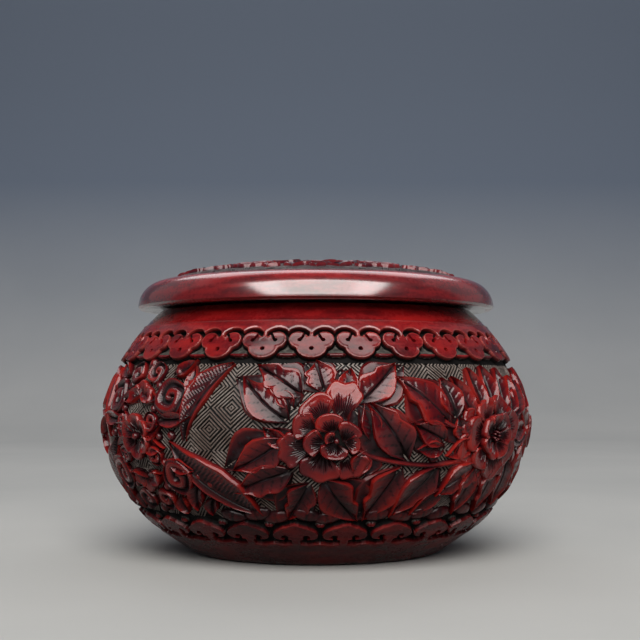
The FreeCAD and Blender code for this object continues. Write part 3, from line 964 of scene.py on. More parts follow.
    def snapped(self, x: Array, y: Array) -> tuple[Array, Array]:
        """Move the places near the outline onto it.

        Args:
            x: places across.
            y: places up.

        Returns:
            The places, moved.
        """
        tiny = 0.01
        away = self.distance(x, y)
        slope_x = (self.distance(x + tiny, y) - away) / tiny
        slope_y = (self.distance(x, y + tiny) - away) / tiny
        size = np.maximum(slope_x**2 + slope_y**2, 0.3)
        near = (np.abs(away) < self.cell).astype(float)
        return x - near * away * slope_x / size, y - near * away * slope_y / size


class CollarFringe(Fringe):
    """The shoulder's border: heads that hang from a scalloped plain band."""

    heads = 28
    first = -1.2
    edge_height = 66.9
    rise_half = 3.44
    lobe = (3.70, -1.05), 2.70
    tongue = (0, -3.9), (4.2, 3.15)
    eye = (3.35, -1.20), 0.62
    hook = (2.9, -0.9), (2.0, 0.8), 0.40
    drop_pit = (0, -4.1), 0.70
    drop = (0, -4.1), 0.34

    def rows(self) -> Array:
        """Return the rows of the grid."""
        end = self.wall.meridian.length[-1] - self.origin
        fine = np.arange(-8.3, 3.9, 0.24)
        plain = np.array([4.1, 4.4, 5.0, 5.5, 5.8, 6.0, 6.12, 6.24, 6.4, 6.7, 7.8, 9.5, 11.5])
        return np.concatenate((fine, plain, [end - 0.7, end - 0.35, end - 0.1, end]))

    def ends(self) -> tuple[Point, Point]:
        """Return where the hidden edges close."""
        return (60.4, 59.0), (45.2, 77.5)

    def dished(self, y: Array) -> Array:
        """Return 1 where the red is dished like a head, and 0 on the plain band."""
        return 1 - smooth(y, 0.2, 1.2)

    def profile(self, y: Array) -> Array:
        """Return the thin ridge line, and the lip's rounded edge."""
        end = self.wall.meridian.length[-1] - self.origin
        step = 0.26 * bump(y, 6.06, 0.15) - 0.14 * smooth(y, 6.1, 6.7)
        return step - 0.5 * smooth(y, end - 0.8, end)

    def plate(self, x: Array, y: Array) -> Array:
        """Work out the uncut outline.

        Args:
            x: places across.
            y: places up.

        Returns:
            The distances to it.
        """
        away = np.abs(x)
        across = np.clip(1 - ((away - self.rise_half) / self.rise_half) ** 2, 0, 1)
        band = (0.5 + 0.06 * away + 2.7 * across**0.6 - y) * 0.75
        head = self.join(self.disc(x, y, *self.lobe), self.oval(x, y, *self.tongue), 0.35)
        stem = np.maximum(away - np.clip(1.9 - 1.1 * (y + 1.0), 0.4, 1.9), np.abs(y + 0.9) - 2.6)
        return np.minimum(np.minimum(head, stem), band)

    def eyes(self, x: Array, y: Array) -> Array:
        """Return the distance to what is cut through it."""
        curl = np.minimum(self.disc(x, y, *self.eye), self.channel(x, y, *self.hook))
        return np.minimum(curl, self.disc(x, y, *self.drop_pit))

    def low_parts(self, x: Array, y: Array) -> tuple[Array, Array]:
        """Work out the lesser parts.

        Args:
            x: places across.
            y: places up.

        Returns:
            Their lift and their shade.
        """
        spot = self.disc(x, y, *self.drop)
        lift = self.floor + 1.1 * (1 - smooth(spot, -0.1, 0.12))
        shade = 0.22 * (lift > self.floor + 0.1)
        away = 6.93 - np.abs(x)
        wedge = np.maximum(away - 1.25 * (-y - 1.6), -y - 6.5 + 0.06 * away**2)
        wedge = np.maximum(wedge, 0.42 - self.distance(x, y))
        body = 1 - smooth(wedge, -0.25, 0.05)
        lip = smooth(-y, 5.3, 5.9)
        filler = self.floor + (0.45 + 1.15 * smooth(-y, 3.2, 6.0)) * body
        return np.maximum(lift, filler), np.maximum(shade, body * (0.34 + 0.58 * lip))


class FootFringe(Fringe):
    """The foot's border: heads that stand on a plain band over the foot ring."""

    heads = 24
    first = -6.2
    edge_height = 7.6
    columns = 50
    # The foot's plate edges get less lightening, wear and painted highlight, than the collar's.
    wear_and_highlight = 0.3
    crest = (0, 5.5), 3.2
    side = (2.5, 4.9), 2.75
    curl = (4.35, 4.3), 2.05
    chin = (0, 4.4), (4.2, 2.4)
    eye = (3.10, 3.35), 1.05
    hook = (2.75, 2.5), (2.1, 1.0), 0.62

    def rows(self) -> Array:
        """Return the rows of the grid."""
        plain = np.array([0, 0.15, 0.4, 0.8, 2.5, 5.0, 8.0, 10.5, 12.4]) - self.origin
        return np.concatenate((plain, np.arange(-0.9, 9.6, 0.25)))

    def open_edge(self, rows: Array) -> float:
        """Return the row where the border meets the open ground."""
        return rows[-1]

    def ends(self) -> tuple[Point, Point]:
        """Return where the hidden edges close."""
        return (34.4, 0.0), (55.4, 16.4)

    def dished(self, y: Array) -> Array:
        """Return 1 where the red is dished like a head, and 0 on the plain band."""
        return smooth(y, 0.4, 1.4)

    def profile(self, y: Array) -> Array:
        """Return the rounding of the foot ring's lower edge."""
        return -0.45 * (1 - smooth(y + self.origin, 0.0, 0.7))

    def plate(self, x: Array, y: Array) -> Array:
        """Work out the uncut outline.

        Args:
            x: places across.
            y: places up.

        Returns:
            The distances to it.
        """
        head = self.join(self.disc(x, y, *self.crest), self.disc(x, y, *self.side), 0.5)
        head = self.join(head, self.disc(x, y, *self.curl), 0.6)
        head = self.join(head, self.oval(x, y, *self.chin), 0.3)
        stem = np.maximum(np.abs(x) - 1.15, np.abs(y - 1.6) - 2.6)
        band = (y + 0.55 - 0.30 * np.cos(np.abs(x) * 0.9)) * 0.9
        return np.minimum(self.join(head, stem, 0.4), band)

    def eyes(self, x: Array, y: Array) -> Array:
        """Return the distance to what is cut through it."""
        return np.minimum(self.disc(x, y, *self.eye), self.channel(x, y, *self.hook))

    def low_parts(self, x: Array, y: Array) -> tuple[Array, Array]:
        """Work out the lesser parts.

        Args:
            x: places across.
            y: places up.

        Returns:
            Their lift and their shade.
        """
        away = 7.0 - np.abs(x)
        drop = np.hypot(away / 1.5, (y - 7.6) / 1.5) - 1
        drop = np.maximum(drop, 0.35 - self.distance(x, y))
        body = 1 - smooth(drop, -0.8, 0.05)
        return self.floor + 1.5 * body, 0.85 * body


class Diaper:
    """The square diaper cut in the ground: rings of ridges round the middle of each cell."""

    ridge: float = 0.48
    sunk: float = -0.05
    rings: int = 5
    steps: tuple[float, ...] = (-0.34, -0.20, 0.20, 0.34)
    ring_slip: float = 0.014
    cell_slip: float = 0.010

    def cell(self) -> BMesh:
        """Make one cell's rings; x and y are the way out, z the ridge's step.

        Returns:
            The rings, at a ring number from the middle.
        """
        cell = bmesh.new()
        for ring in range(1, self.rings + 1):
            sides = 4 * max(1, (ring + 1) // 2)
            loop = bmesh.new()
            bmesh.ops.create_circle(loop, segments=sides, radius=ring)
            ways = [loop.edges[:]]
            for way in range(1, len(self.steps)):
                ways.append(drawn_out(loop, ways[-1], way))
            bmesh.ops.bridge_loops(loop, edges=ways[0] + ways[-1])
            poured(cell, to_mesh(loop, "ring"))
        return cell

    def carve(self, surface: Surface, cells: Sequence[tuple[Spot, Point]]) -> Mesh:
        """Cut rings about each of a list of cells.

        Args:
            surface: the surface that carries them.
            cells: each cell's spot, and its half diagonals across and up.

        Returns:
            The ridges as one mesh.
        """
        template = to_mesh(self.cell(), "cell")
        places = positions(template.vertices)
        ring, way = np.round(np.hypot(places[:, 0], places[:, 1])), places[:, 2].astype(int)
        diamond = places[:, :2] / np.abs(places[:, :2]).sum(axis=1)[:, None]
        size = (ring - 0.5 + np.array(self.steps)[way]) / self.rings
        top = (way == 1) | (way == 2)
        lift = np.where(top, self.ridge, self.sunk)
        whole = bmesh.new()
        points = []
        for index, (spot, (across, up)) in enumerate(cells):
            whole.from_mesh(template)
            slip = self.ring_slip * np.sin(2.3 * ring + 1.7 * index)
            reach = size + slip + self.cell_slip * np.sin(5 * index)
            points.append(surface.points(spot, diamond[:, 0] * reach * across,
                                         diamond[:, 1] * reach * up, lift))
        bpy.data.meshes.remove(template)
        # The ridges' tops are marked 1 and the rest 0; the ground's finish colours the tops
        # lighter.
        ridge_tops = np.tile(np.where(top, 1.0, 0.0), len(cells))
        mesh = shaded(to_mesh(whole, "diaper"), np.concatenate(points), ridge_tops, ridge_tops)
        whole = poured(bmesh.new(), mesh)
        bmesh.ops.recalc_face_normals(whole, faces=whole.faces[:])
        return to_mesh(whole, "diaper")


class Shader:
    """A node material that is put together in a few words."""

    def __init__(self, name: str) -> None:
        """Start a material with one Principled shader."""
        self.material = bpy.data.materials.new(name)
        self.material.use_nodes = True
        self.tree = self.material.node_tree
        self.base = self.tree.nodes["Principled BSDF"]

    def node(self, kind: str, inputs: dict | None = None, **settings: object) -> bpy.types.Node:
        """Add a node.

        Args:
            kind: the node's type without its ShaderNode prefix.
            inputs: values or sockets for its inputs.
            settings: its own settings.

        Returns:
            The node.
        """
        node = self.tree.nodes.new("ShaderNode" + kind)
        for name, value in settings.items():
            setattr(node, name, value)
        for name, value in (inputs or {}).items():
            self.feed(node.inputs[name], value)
        return node

    def feed(self, socket: Socket, value: object) -> None:
        """Link another socket to a socket, or set its constant."""
        if isinstance(value, Socket):
            self.tree.links.new(value, socket)
        else:
            socket.default_value = value

    def places(self, scale: tuple[float, float, float]) -> Socket:
        """Return Object coordinates, scaled along each axis."""
        place = self.node("TexCoord").outputs["Object"]
        return self.node("Mapping", {"Vector": place, "Scale": scale}).outputs["Vector"]

    def noise(self, scale: float, detail: float, stretch: tuple = (1, 1, 1),
              warp: float = 0) -> Socket:
        """Return noise with grains of about 1 / scale metres."""
        inputs = {"Vector": self.places(stretch), "Scale": scale, "Detail": detail,
                  "Distortion": warp}
        return self.node("TexNoise", inputs).outputs["Fac"]

    def height(self, stretch: Point, first: float = 0, last: float = 1) -> Socket:
        """Return first to last as the height above the table goes through a stretch."""
        place = self.node("TexCoord").outputs["Object"]
        height = self.node("SeparateXYZ", {0: place}).outputs["Z"]
        return self.range(height, *stretch, first, last)

    def shade(self, name: str) -> Socket:
        """Return one of the shades stored in the mesh."""
        return self.node("Attribute", attribute_name=name).outputs["Fac"]

    def sum(self, first: Socket, second: object, share: float = 1, offset: float = 0) -> Socket:
        """Return first + second * share + offset."""
        inputs = {0: second, 1: share, 2: offset}
        scaled = self.node("Math", inputs, operation="MULTIPLY_ADD").outputs[0]
        return self.node("Math", {0: first, 1: scaled}, operation="ADD").outputs[0]

    def product(self, first: Socket, second: object) -> Socket:
        """Return first * second."""
        return self.node("Math", {0: first, 1: second}, operation="MULTIPLY").outputs[0]

    def range(self, value: Socket, low: float, high: float, start: float = 0,
              end: float = 1) -> Socket:
        """Return a value stretched from low..high to start..end, clamped."""
        inputs = {"Value": value, "From Min": low, "From Max": high, "To Min": start, "To Max": end}
        return self.node("MapRange", inputs).outputs["Result"]

    def ramp(self, value: Socket, stops: Sequence[tuple]) -> Socket:
        """Colour a value.

        Args:
            value: the value.
            stops: pairs of a value and its colour.

        Returns:
            The colour.
        """
        node = self.node("ValToRGB", {"Fac": value})
        elements = node.color_ramp.elements
        while len(elements) < len(stops):
            elements.new(1.0)
        for element, (place, colour) in zip(elements, stops):
            element.position = place
            element.color = (*colour, 1)
        return node.outputs["Color"]

    def mix(self, share: Socket, first: object, second: object) -> Socket:
        """Mix two colours; a plain colour is three numbers.

        Args:
            share: how much of the second.
            first: one colour.
            second: the other.

        Returns:
            The mix.
        """
        colours = [(*c, 1) if isinstance(c, tuple) else c for c in (first, second)]
        node = self.node("Mix", data_type="RGBA")
        for index, value in zip((0, 6, 7), (share, *colours)):
            self.feed(node.inputs[index], value)
        return node.outputs[2]

    def finish(self, colour: Socket, roughness: Socket, height: Socket, depth: float,
               **others: object) -> Material:
        """Join colour, roughness and bump to the shader and set its constants.

        Args:
            colour: the base colour.
            roughness: the roughness.
            height: the bump's height, 0 to 1.
            depth: the bump's depth in metres.
            others: values or sockets for other inputs of the shader, with _ for a space.

        Returns:
            The material.
        """
        relief = self.node("Bump", {"Height": height, "Distance": depth, "Strength": 1.0})
        inputs = {"Base_Color": colour, "Roughness": roughness,
                  "Normal": relief.outputs["Normal"], **others}
        for name, value in inputs.items():
            self.feed(self.base.inputs[name.replace("_", " ")], value)
        return self.material


@dataclass(frozen=True)
class Stretch:
    """Stretches of height above the table, in metres, over which a finish changes."""

    foot_band: Point = (0.004, 0.030)
    lower_wall: Point = (0.010, 0.055)
    lower_carving: Point = (0.012, 0.034)
    foot_to_belly: Point = (0.012, 0.050)
    shoulder_to_crown: Point = (0.064, 0.088)
    shoulder: Point = (0.066, 0.076)
    lid_ground: Point = (0.074, 0.078)
    band_foot: Point = (0.0765, 0.0780)
    lid_carving: Point = (0.080, 0.084)
    band_crown: Point = (0.0835, 0.0860)
    backdrop: Point = (0.0, 0.35)


@dataclass(frozen=True)
class CarvedLacquer:
    """Cinnabar red in relief: deep red faces; rims of wear and painted highlight; cuts, walls and
    the lower jar near black as painted shade; dust, and painted sheen on upward faces and the lid.
    """

    # cut, deep, body and high go with carve and height: the near black and deep reds are painted
    # shade, the bright red painted highlight; rim is wear and painted highlight; shadow and the
    # lid's purple grey are dust with painted sheen.
    cut: tuple = (0.003, 0.0012, 0.0012)
    deep: tuple = (0.022, 0.002, 0.004)
    body: tuple = (0.105, 0.004, 0.007)
    high: tuple = (0.310, 0.011, 0.008)
    rim: tuple = (0.36, 0.022, 0.016)
    dust: tuple = (0.150, 0.112, 0.130)
    shadow: tuple = (0.040, 0.010, 0.018)
    lid_dust_and_sheen: tuple = (0.060, 0.020, 0.038)

    def material(self) -> Material:
        """Mix the finish.

        Returns:
            The material.
        """
        s = Shader("carved_red_lacquer")
        cloud, grain = s.noise(75, 4, warp=0.4), s.noise(700, 3)
        carve, rim = s.shade("carve"), s.shade("rim")
        # Painted shade and highlight: colour follows carve, near black in the cuts and down the
        # walls, bright red on the highest places; the noise adds the red's own uneven tone.
        depth = s.sum(s.sum(carve, cloud, 0.85, -0.49), s.noise(26, 2), 0.6, -0.30)
        colour = s.ramp(depth, ((0.08, self.cut), (0.36, self.deep), (0.70, self.body),
                                (1.0, self.high)))
        # Rims are lightened: wear, and painted highlight.
        wear_and_highlight = s.product(rim, s.range(cloud, 0.38, 0.66, 0.0, 0.60))
        colour = s.mix(wear_and_highlight, colour, self.rim)
        low = s.range(carve, 0.45, 0.10)
        dusty = s.product(low, s.range(s.noise(260, 4), 0.44, 0.66, 0, 0.30))
        dusty = s.product(dusty, s.range(s.shade("side"), 0.15, 0.02))
        colour = s.mix(dusty, colour, self.dust)
        normal = s.node("SeparateXYZ", {0: s.node("TexCoord").outputs["Normal"]}).outputs["Z"]
        # Upward faces turn dark purple: settled dust, with painted sheen.
        settled_dust_and_sheen = s.product(s.range(normal, 0.80, 0.97), s.range(cloud, 0.35, 0.65, 0.1, 0.6))
        colour = s.mix(settled_dust_and_sheen, colour, self.shadow)
        # Painted shade: the carving goes darker towards the bottom of the jar.
        colour = s.mix(s.height(Stretch.lower_carving, 0.40, 0), colour, self.cut)
        # The lid's carving turns purple grey: dust, with painted sheen.
        colour = s.mix(s.height(Stretch.lid_carving, 0, 0.40), colour, self.lid_dust_and_sheen)
        roughness = s.range(s.sum(carve, grain, 0.5, -0.25), 0.1, 0.9, 0.55, 0.24)
        layers = s.noise(420, 2, stretch=(1, 1, 3))
        height = s.sum(s.sum(cloud, grain, 0.35), layers, 0.25)
        gloss = s.product(s.range(carve, 0.20, 0.65, 0.0, 0.68),
                          s.height(Stretch.foot_to_belly, 0.3))
        gloss = s.product(gloss, s.range(normal, 0.80, 0.97, 1, 0.4))
        return s.finish(colour, roughness, height, 0.00016, Coat_Weight=gloss,
                        Coat_Roughness=0.12, Specular_IOR_Level=0.06)


@dataclass(frozen=True)
class PolishedLacquer:
    """Smooth polished red: rubbing streaks, small pits, rims of wear and painted highlight; painted
    light up high, painted shade on the band's face, low down and in the cuts.
    """

    # dark, body and bright are the polish's own uneven tone; rim is wear and painted highlight; cut
    # serves the real pits and painted shade; the brightest red is painted light, the darker face
    # red painted shade.
    dark: tuple = (0.045, 0.003, 0.005)
    body: tuple = (0.165, 0.005, 0.008)
    bright: tuple = (0.360, 0.010, 0.009)
    rim: tuple = (0.46, 0.095, 0.080)
    cut: tuple = (0.004, 0.003, 0.003)
    painted_top_light: tuple = (0.560, 0.012, 0.010)
    dust: tuple = (0.120, 0.110, 0.096)
    shadow: tuple = (0.040, 0.034, 0.030)
    painted_face_shade: tuple = (0.075, 0.006, 0.008)

    def material(self) -> Material:
        """Mix the finish.

        Returns:
            The material.
        """
        s = Shader("smooth_red_lacquer")
        streak = s.noise(90, 5, stretch=(1, 1, 5), warp=0.3)
        cloud, grain = s.noise(38, 3), s.noise(900, 3)
        carve, rim = s.shade("carve"), s.shade("rim")
        tone = s.sum(s.sum(streak, cloud, 0.6, -0.3), grain, 0.3, -0.15)
        colour = s.ramp(tone, ((0.22, self.dark), (0.5, self.body), (0.78, self.bright)))
        # Rims are lightened: wear, and painted highlight.
        wear_and_highlight = s.product(rim, s.range(streak, 0.3, 0.6, 0.2, 0.8))
        colour = s.mix(s.product(wear_and_highlight, s.range(carve, 0.6, 0.8)), colour, self.rim)
        pits = s.range(s.noise(1500, 2), 0.70, 0.74)
        colour = s.mix(s.product(pits, s.range(cloud, 0.45, 0.6)), colour, self.cut)
        # Painted light: the upper parts, from the shoulder up to the lid's crown, get a brighter
        # red.
        painted_top_light = s.product(s.height(Stretch.shoulder_to_crown, 0, 0.9),
                          s.range(tone, 0.3, 0.6, 0.4, 1))
        colour = s.mix(s.product(painted_top_light, s.range(carve, 0.62, 0.8)), colour, self.painted_top_light)
        # Painted shade: the lid band's face, under its crown, gets a darker red.
        face = s.product(s.height(Stretch.band_foot, 0, 0.85), s.height(Stretch.band_crown, 1, 0))
        colour = s.mix(s.product(face, s.range(tone, 0.30, 0.65, 1, 0.6)), colour, self.painted_face_shade)
        # Painted shade: darker towards the foot.
        colour = s.mix(s.height(Stretch.foot_band, 0.40, 0), colour, self.cut)
        # The cut walls and the floor go near black: painted shade on the walls, the ground's own
        # dark colour on the floor.
        colour = s.mix(s.range(carve, 0.66, 0.40), colour, self.cut)
        filled = s.product(s.range(rim, 0.6, 0.9), s.range(carve, 0.62, 0.40))
        grey = s.ramp(grain, ((0.35, self.shadow), (0.65, self.dust)))
        colour = s.mix(filled, colour, grey)
        polish = s.range(s.sum(streak, grain, 0.5, -0.25), 0.3, 0.75, 0.20, 0.36)
        roughness = s.sum(polish, s.range(carve, 0.62, 0.36), 0.5)
        height = s.sum(s.sum(streak, grain, 0.4), pits, -0.6)
        gloss = s.product(s.range(carve, 0.30, 0.62), s.height(Stretch.lower_wall, 0.25))
        gloss = s.product(gloss, s.height(Stretch.shoulder, 0.20, 1))
        return s.finish(colour, roughness, height, 0.00006, Coat_Weight=gloss,
                        Coat_Roughness=0.17, Coat_IOR=1.8, Specular_IOR_Level=0.08)


@dataclass(frozen=True)
class GroundLacquer:
    """Dark brown ground; the tops of its diaper's ridges are coloured lighter, and purple grey on
    the lid.
    """

    low: tuple = (0.002, 0.0015, 0.0013)
    earth: tuple = (0.008, 0.005, 0.004)
    ridge: tuple = (0.150, 0.108, 0.092)
    grey: tuple = (0.33, 0.28, 0.25)
    # Dust with painted sheen, laid on the lid's ridges.
    lid_dust_and_sheen: tuple = (0.050, 0.030, 0.040)

    def material(self) -> Material:
        """Mix the finish.

        Returns:
            The material.
        """
        s = Shader("ground_lacquer")
        cloud, grain = s.noise(120, 4), s.noise(1400, 3)
        ridge = s.shade("rim")
        colour = s.ramp(cloud, ((0.35, self.low), (0.65, self.earth)))
        high = s.ramp(s.sum(cloud, grain, 0.6, -0.3), ((0.35, self.ridge), (0.7, self.grey)))
        # On the lid the ridges turn purple grey: dust, with painted sheen.
        high = s.mix(s.height(Stretch.lid_ground, 0, 0.8), high, self.lid_dust_and_sheen)
        colour = s.mix(s.range(ridge, 0.45, 0.95), colour, high)
        roughness = s.range(grain, 0.3, 0.7, 0.35, 0.6)
        return s.finish(colour, roughness, s.sum(grain, cloud, 0.5), 0.00008,
                        Specular_IOR_Level=0.15)


@dataclass(frozen=True)
class BlackLacquer:
    """Black lacquer on the hollow, the lip and under the lid, with turning marks."""

    black: tuple = (0.010, 0.008, 0.008)
    brown: tuple = (0.030, 0.020, 0.017)

    def material(self) -> Material:
        """Mix the finish.

        Returns:
            The material.
        """
        s = Shader("black_lacquer")
        cloud, grain = s.noise(60, 4), s.noise(800, 3)
        rings = s.node("TexWave", {"Vector": s.places((1, 1, 0)), "Scale": 260.0,
                                   "Distortion": 1.5, "Detail": 2.0}, wave_type="RINGS",
                       rings_direction="SPHERICAL").outputs["Fac"]
        colour = s.ramp(s.sum(cloud, grain, 0.4, -0.2), ((0.3, self.black), (0.8, self.brown)))
        roughness = s.range(s.sum(cloud, grain, 0.5), 0.5, 1.0, 0.16, 0.34)
        return s.finish(colour, roughness, s.sum(grain, rings, 0.25), 0.00004,
                        Coat_Weight=0.6, Coat_Roughness=0.1)


@dataclass(frozen=True)
class TurnedWood:
    """The wood cores under the lacquer, close grained and dark."""

    early: tuple = (0.17, 0.10, 0.055)
    late: tuple = (0.075, 0.040, 0.022)

    def material(self) -> Material:
        """Mix the finish.

        Returns:
            The material.
        """
        s = Shader("lacquered_wood")
        wave = s.node("TexWave", {"Vector": s.places((1, 0.12, 1)), "Scale": 160.0,
                                  "Distortion": 4.0, "Detail": 3.0}).outputs["Fac"]
        grain = s.noise(500, 4, stretch=(1, 0.15, 1))
        colour = s.ramp(s.sum(wave, grain, 0.6, -0.3), ((0.2, self.late), (0.8, self.early)))
        return s.finish(colour, s.range(grain, 0.3, 0.7, 0.45, 0.65), grain, 0.00008)


@dataclass(frozen=True)
class StageCloth:
    """Pale floor that turns slate grey where the sheet runs up behind."""

    pale: tuple = (0.52, 0.515, 0.50)
    warm: tuple = (0.58, 0.57, 0.55)
    slate: tuple = (0.20, 0.235, 0.30)
    bounce: tuple = (0.10, 0.095, 0.09)

    def material(self) -> Material:
        """Mix the finish.

        Returns:
            The material.
        """
        s = Shader("stage")
        cloud = s.noise(6, 3)
        colour = s.ramp(cloud, ((0.3, self.pale), (0.7, self.warm)))
        colour = s.mix(s.height(Stretch.backdrop), colour, self.slate)
        rays = s.node("LightPath").outputs
        seen = s.sum(s.sum(rays["Is Camera Ray"], rays["Is Glossy Ray"]),
                     rays["Is Transmission Ray"])
        colour = s.mix(seen, self.bounce, colour)
        return s.finish(colour, s.range(s.noise(300, 2), 0.3, 0.7, 0.85, 0.95), cloud, 0.0002,
                        Specular_IOR_Level=0.1)


@dataclass
class Finishes:
    """Every finish of the jar, made once."""

    carved: Material = field(default_factory=lambda: CarvedLacquer().material())
    polished: Material = field(default_factory=lambda: PolishedLacquer().material())
    ground: Material = field(default_factory=lambda: GroundLacquer().material())
    black: Material = field(default_factory=lambda: BlackLacquer().material())
    wood: Material = field(default_factory=lambda: TurnedWood().material())


class Maker(ABC):
    """What builds the pieces of one body: the surface that it carves, and the finishes."""

    body: str = "jar"

    def __init__(self, surface: Surface, finishes: Finishes) -> None:
        """Keep the surface and the finishes."""
        self.surface, self.finishes = surface, finishes

    def turned(self, node: str, slot: str, finish: Material, outline: Sequence[Point],
               steps: int = 180, carve: float = 0.8) -> None:
        """Show the turned solid of an outline as the piece of a CAD node."""
        piece = Piece("turned_" + node, self.body, slot, finish)
        piece.put(spun(outline, steps, carve), node)

    def carved(self, node: str, carving: Carving) -> None:
        """Show a carving as the piece of a CAD node."""
        piece = Piece("carved_" + node, self.body, "carved_red_lacquer", self.finishes.carved)
        piece.put(carving.mesh(), node)

    def squared(self, name: str, cells: Sequence[tuple[Spot, Point]]) -> None:
        """Show the diaper of a list of cells as a piece of its own."""
        piece = Piece(name, self.body, "ground_lacquer", self.finishes.ground)
        piece.put(Diaper().carve(self.surface, cells), sharp=25)

    @abstractmethod
    def build(self) -> None:
        """Build the pieces, in order."""


class JarBody(Maker):
    """The turned core with its coats and the two borders."""

    surface: JarWall

    def __init__(self, shape: JarShape, wall: JarWall, finishes: Finishes) -> None:
        """Keep the sizes, the wall and the finishes."""
        super().__init__(wall, finishes)
        self.shape = shape

    def outline_at(self, depth: float, low: float, high: float) -> list[Point]:
        """Return the wall's outline at a depth, between two heights on the red layer."""
        meridian = self.surface.meridian
        along = np.linspace(meridian.length_at(low), meridian.length_at(high), 44)
        radius, height, out, rise = meridian.at(along)
        return list(zip(radius - depth * out, height - depth * rise))

    def hollow(self) -> list[Point]:
        """Work out the hollow's outline.

        Returns:
            The points from the mouth down to the floor's middle.
        """
        shape = self.shape
        points = [p for arc in shape.arcs() for p in arc.points(depth=shape.wall, count=14)]
        points = [p for p in points if p[1] < shape.lip[1] and
                  (p[0] > shape.mouth_radius or p[1] < shape.belly_height)]
        heel = points[0]
        edge = (heel[0] - shape.floor_curve_width, shape.floor)
        curve = joined_arc(edge, -90, heel)
        points = [(0, shape.floor)] + curve.points(count=10) + points[1:]
        points.append((shape.mouth_radius, points[-1][1] + shape.mouth_rise))
        points += [(shape.mouth_radius + out, shape.lip[1] - under)
                   for out, under in shape.mouth_steps]
        return points[::-1]

    def core(self) -> None:
        """Turn the vessel itself, black inside and under its foot."""
        shape, ring = self.shape, self.shape.ring_inner_radius
        foot = [(0, shape.recess), (ring - shape.ring_round[0], shape.recess),
                (ring, shape.recess - shape.ring_round[1]), (ring, shape.ring_lip[1]),
                (ring + shape.ring_lip[0], 0), (shape.ring_outer_radius, 0)]
        outer = self.outline_at(shape.core_depth, *shape.core_ends)
        self.turned("jar_core", "lacquered_wood", self.finishes.black,
                    foot + outer + [(shape.seat_radius, shape.lip[1])] + self.hollow())

    def recess_coat(self) -> None:
        """Turn the black coat under the foot."""
        high, edge = self.shape.recess, self.shape.ring_inner_radius - self.shape.coat_gap
        low = high - self.shape.recess_coat
        outline = rounded([(0, low, 0), (edge, low, 0.2), (edge, high, 0), (0, high, 0)])
        self.turned("foot_recess_coat", "black_lacquer", self.finishes.black, outline)

    def ground(self) -> None:
        """Turn the dark ground between the two borders."""
        shape = self.shape
        outer = self.outline_at(self.surface.relief, *shape.ground_ends)
        inner = self.outline_at(shape.core_depth - shape.ground_bite, *shape.ground_ends)
        self.turned("ground_coat", "ground_lacquer", self.finishes.ground,
                    outer + inner[::-1], steps=200, carve=0)

    def diaper(self) -> None:
        """Cut the jar's diaper; its cells alternate by row and stop under the blossoms."""
        around, first, middle, low, high = 32, -20.5, 47.3, 15.0, 64.0
        hidden, half = 9.0, 6.65
        places = (PeonyBranch.main, PeonyBranch.side, PeonyBranch.young)
        blossoms = [(azimuth + turn, at) for azimuth, at in places for turn in (-360, -180, 0, 180)]
        step = 360 / around
        start = self.surface.meridian.length_at(middle)
        cells = []
        for row in range(-6, 5):
            along = start + row * half
            radius, height, _, _ = self.surface.meridian.at(along)
            if not low < height < high:
                continue
            for index in range(around):
                spot = Spot(first + step * (index + (row % 2) / 2), float(height))
                if all(math.hypot(*self.surface.step(spot, *blossom)) > hidden
                       for blossom in blossoms):
                    cells.append((spot, (math.radians(step) / 2 * float(radius), half)))
        self.squared("cut_square_diaper", cells)

    def borders(self) -> None:
        """Cut the shoulder's and the foot's borders."""
        for node, fringe in (("shoulder_collar", CollarFringe), ("foot_band", FootFringe)):
            piece = Piece("cut_" + node, self.body, "smooth_red_lacquer", self.finishes.polished)
            piece.put(fringe(self.surface).mesh(), node, sharp=30)

    def build(self) -> None:
        """Build the vessel, its coats, its diaper and its borders."""
        self.core()
        self.recess_coat()
        self.ground()
        self.diaper()
        self.borders()


@dataclass(frozen=True)
class LeafPlace:
    """A leaf of the branch: base and tip as azimuth and height, and how it is cut."""

    base: Point
    tip: Point
    width: float
    left: LeafEdge = LOBED
    right: LeafEdge = LOBED
    tilt: float = 0.3
    bow: float = 0.4
    lift: float = 1.55


@dataclass(frozen=True)
class PetalPlace:
    """A petal: root across and up from the blossom's middle, its direction and its form."""

    root: Point
    direction: float
    length: float
    spread: float
    low: float
    high: float
    lines: int = 9
    ruffles: float = 3.0


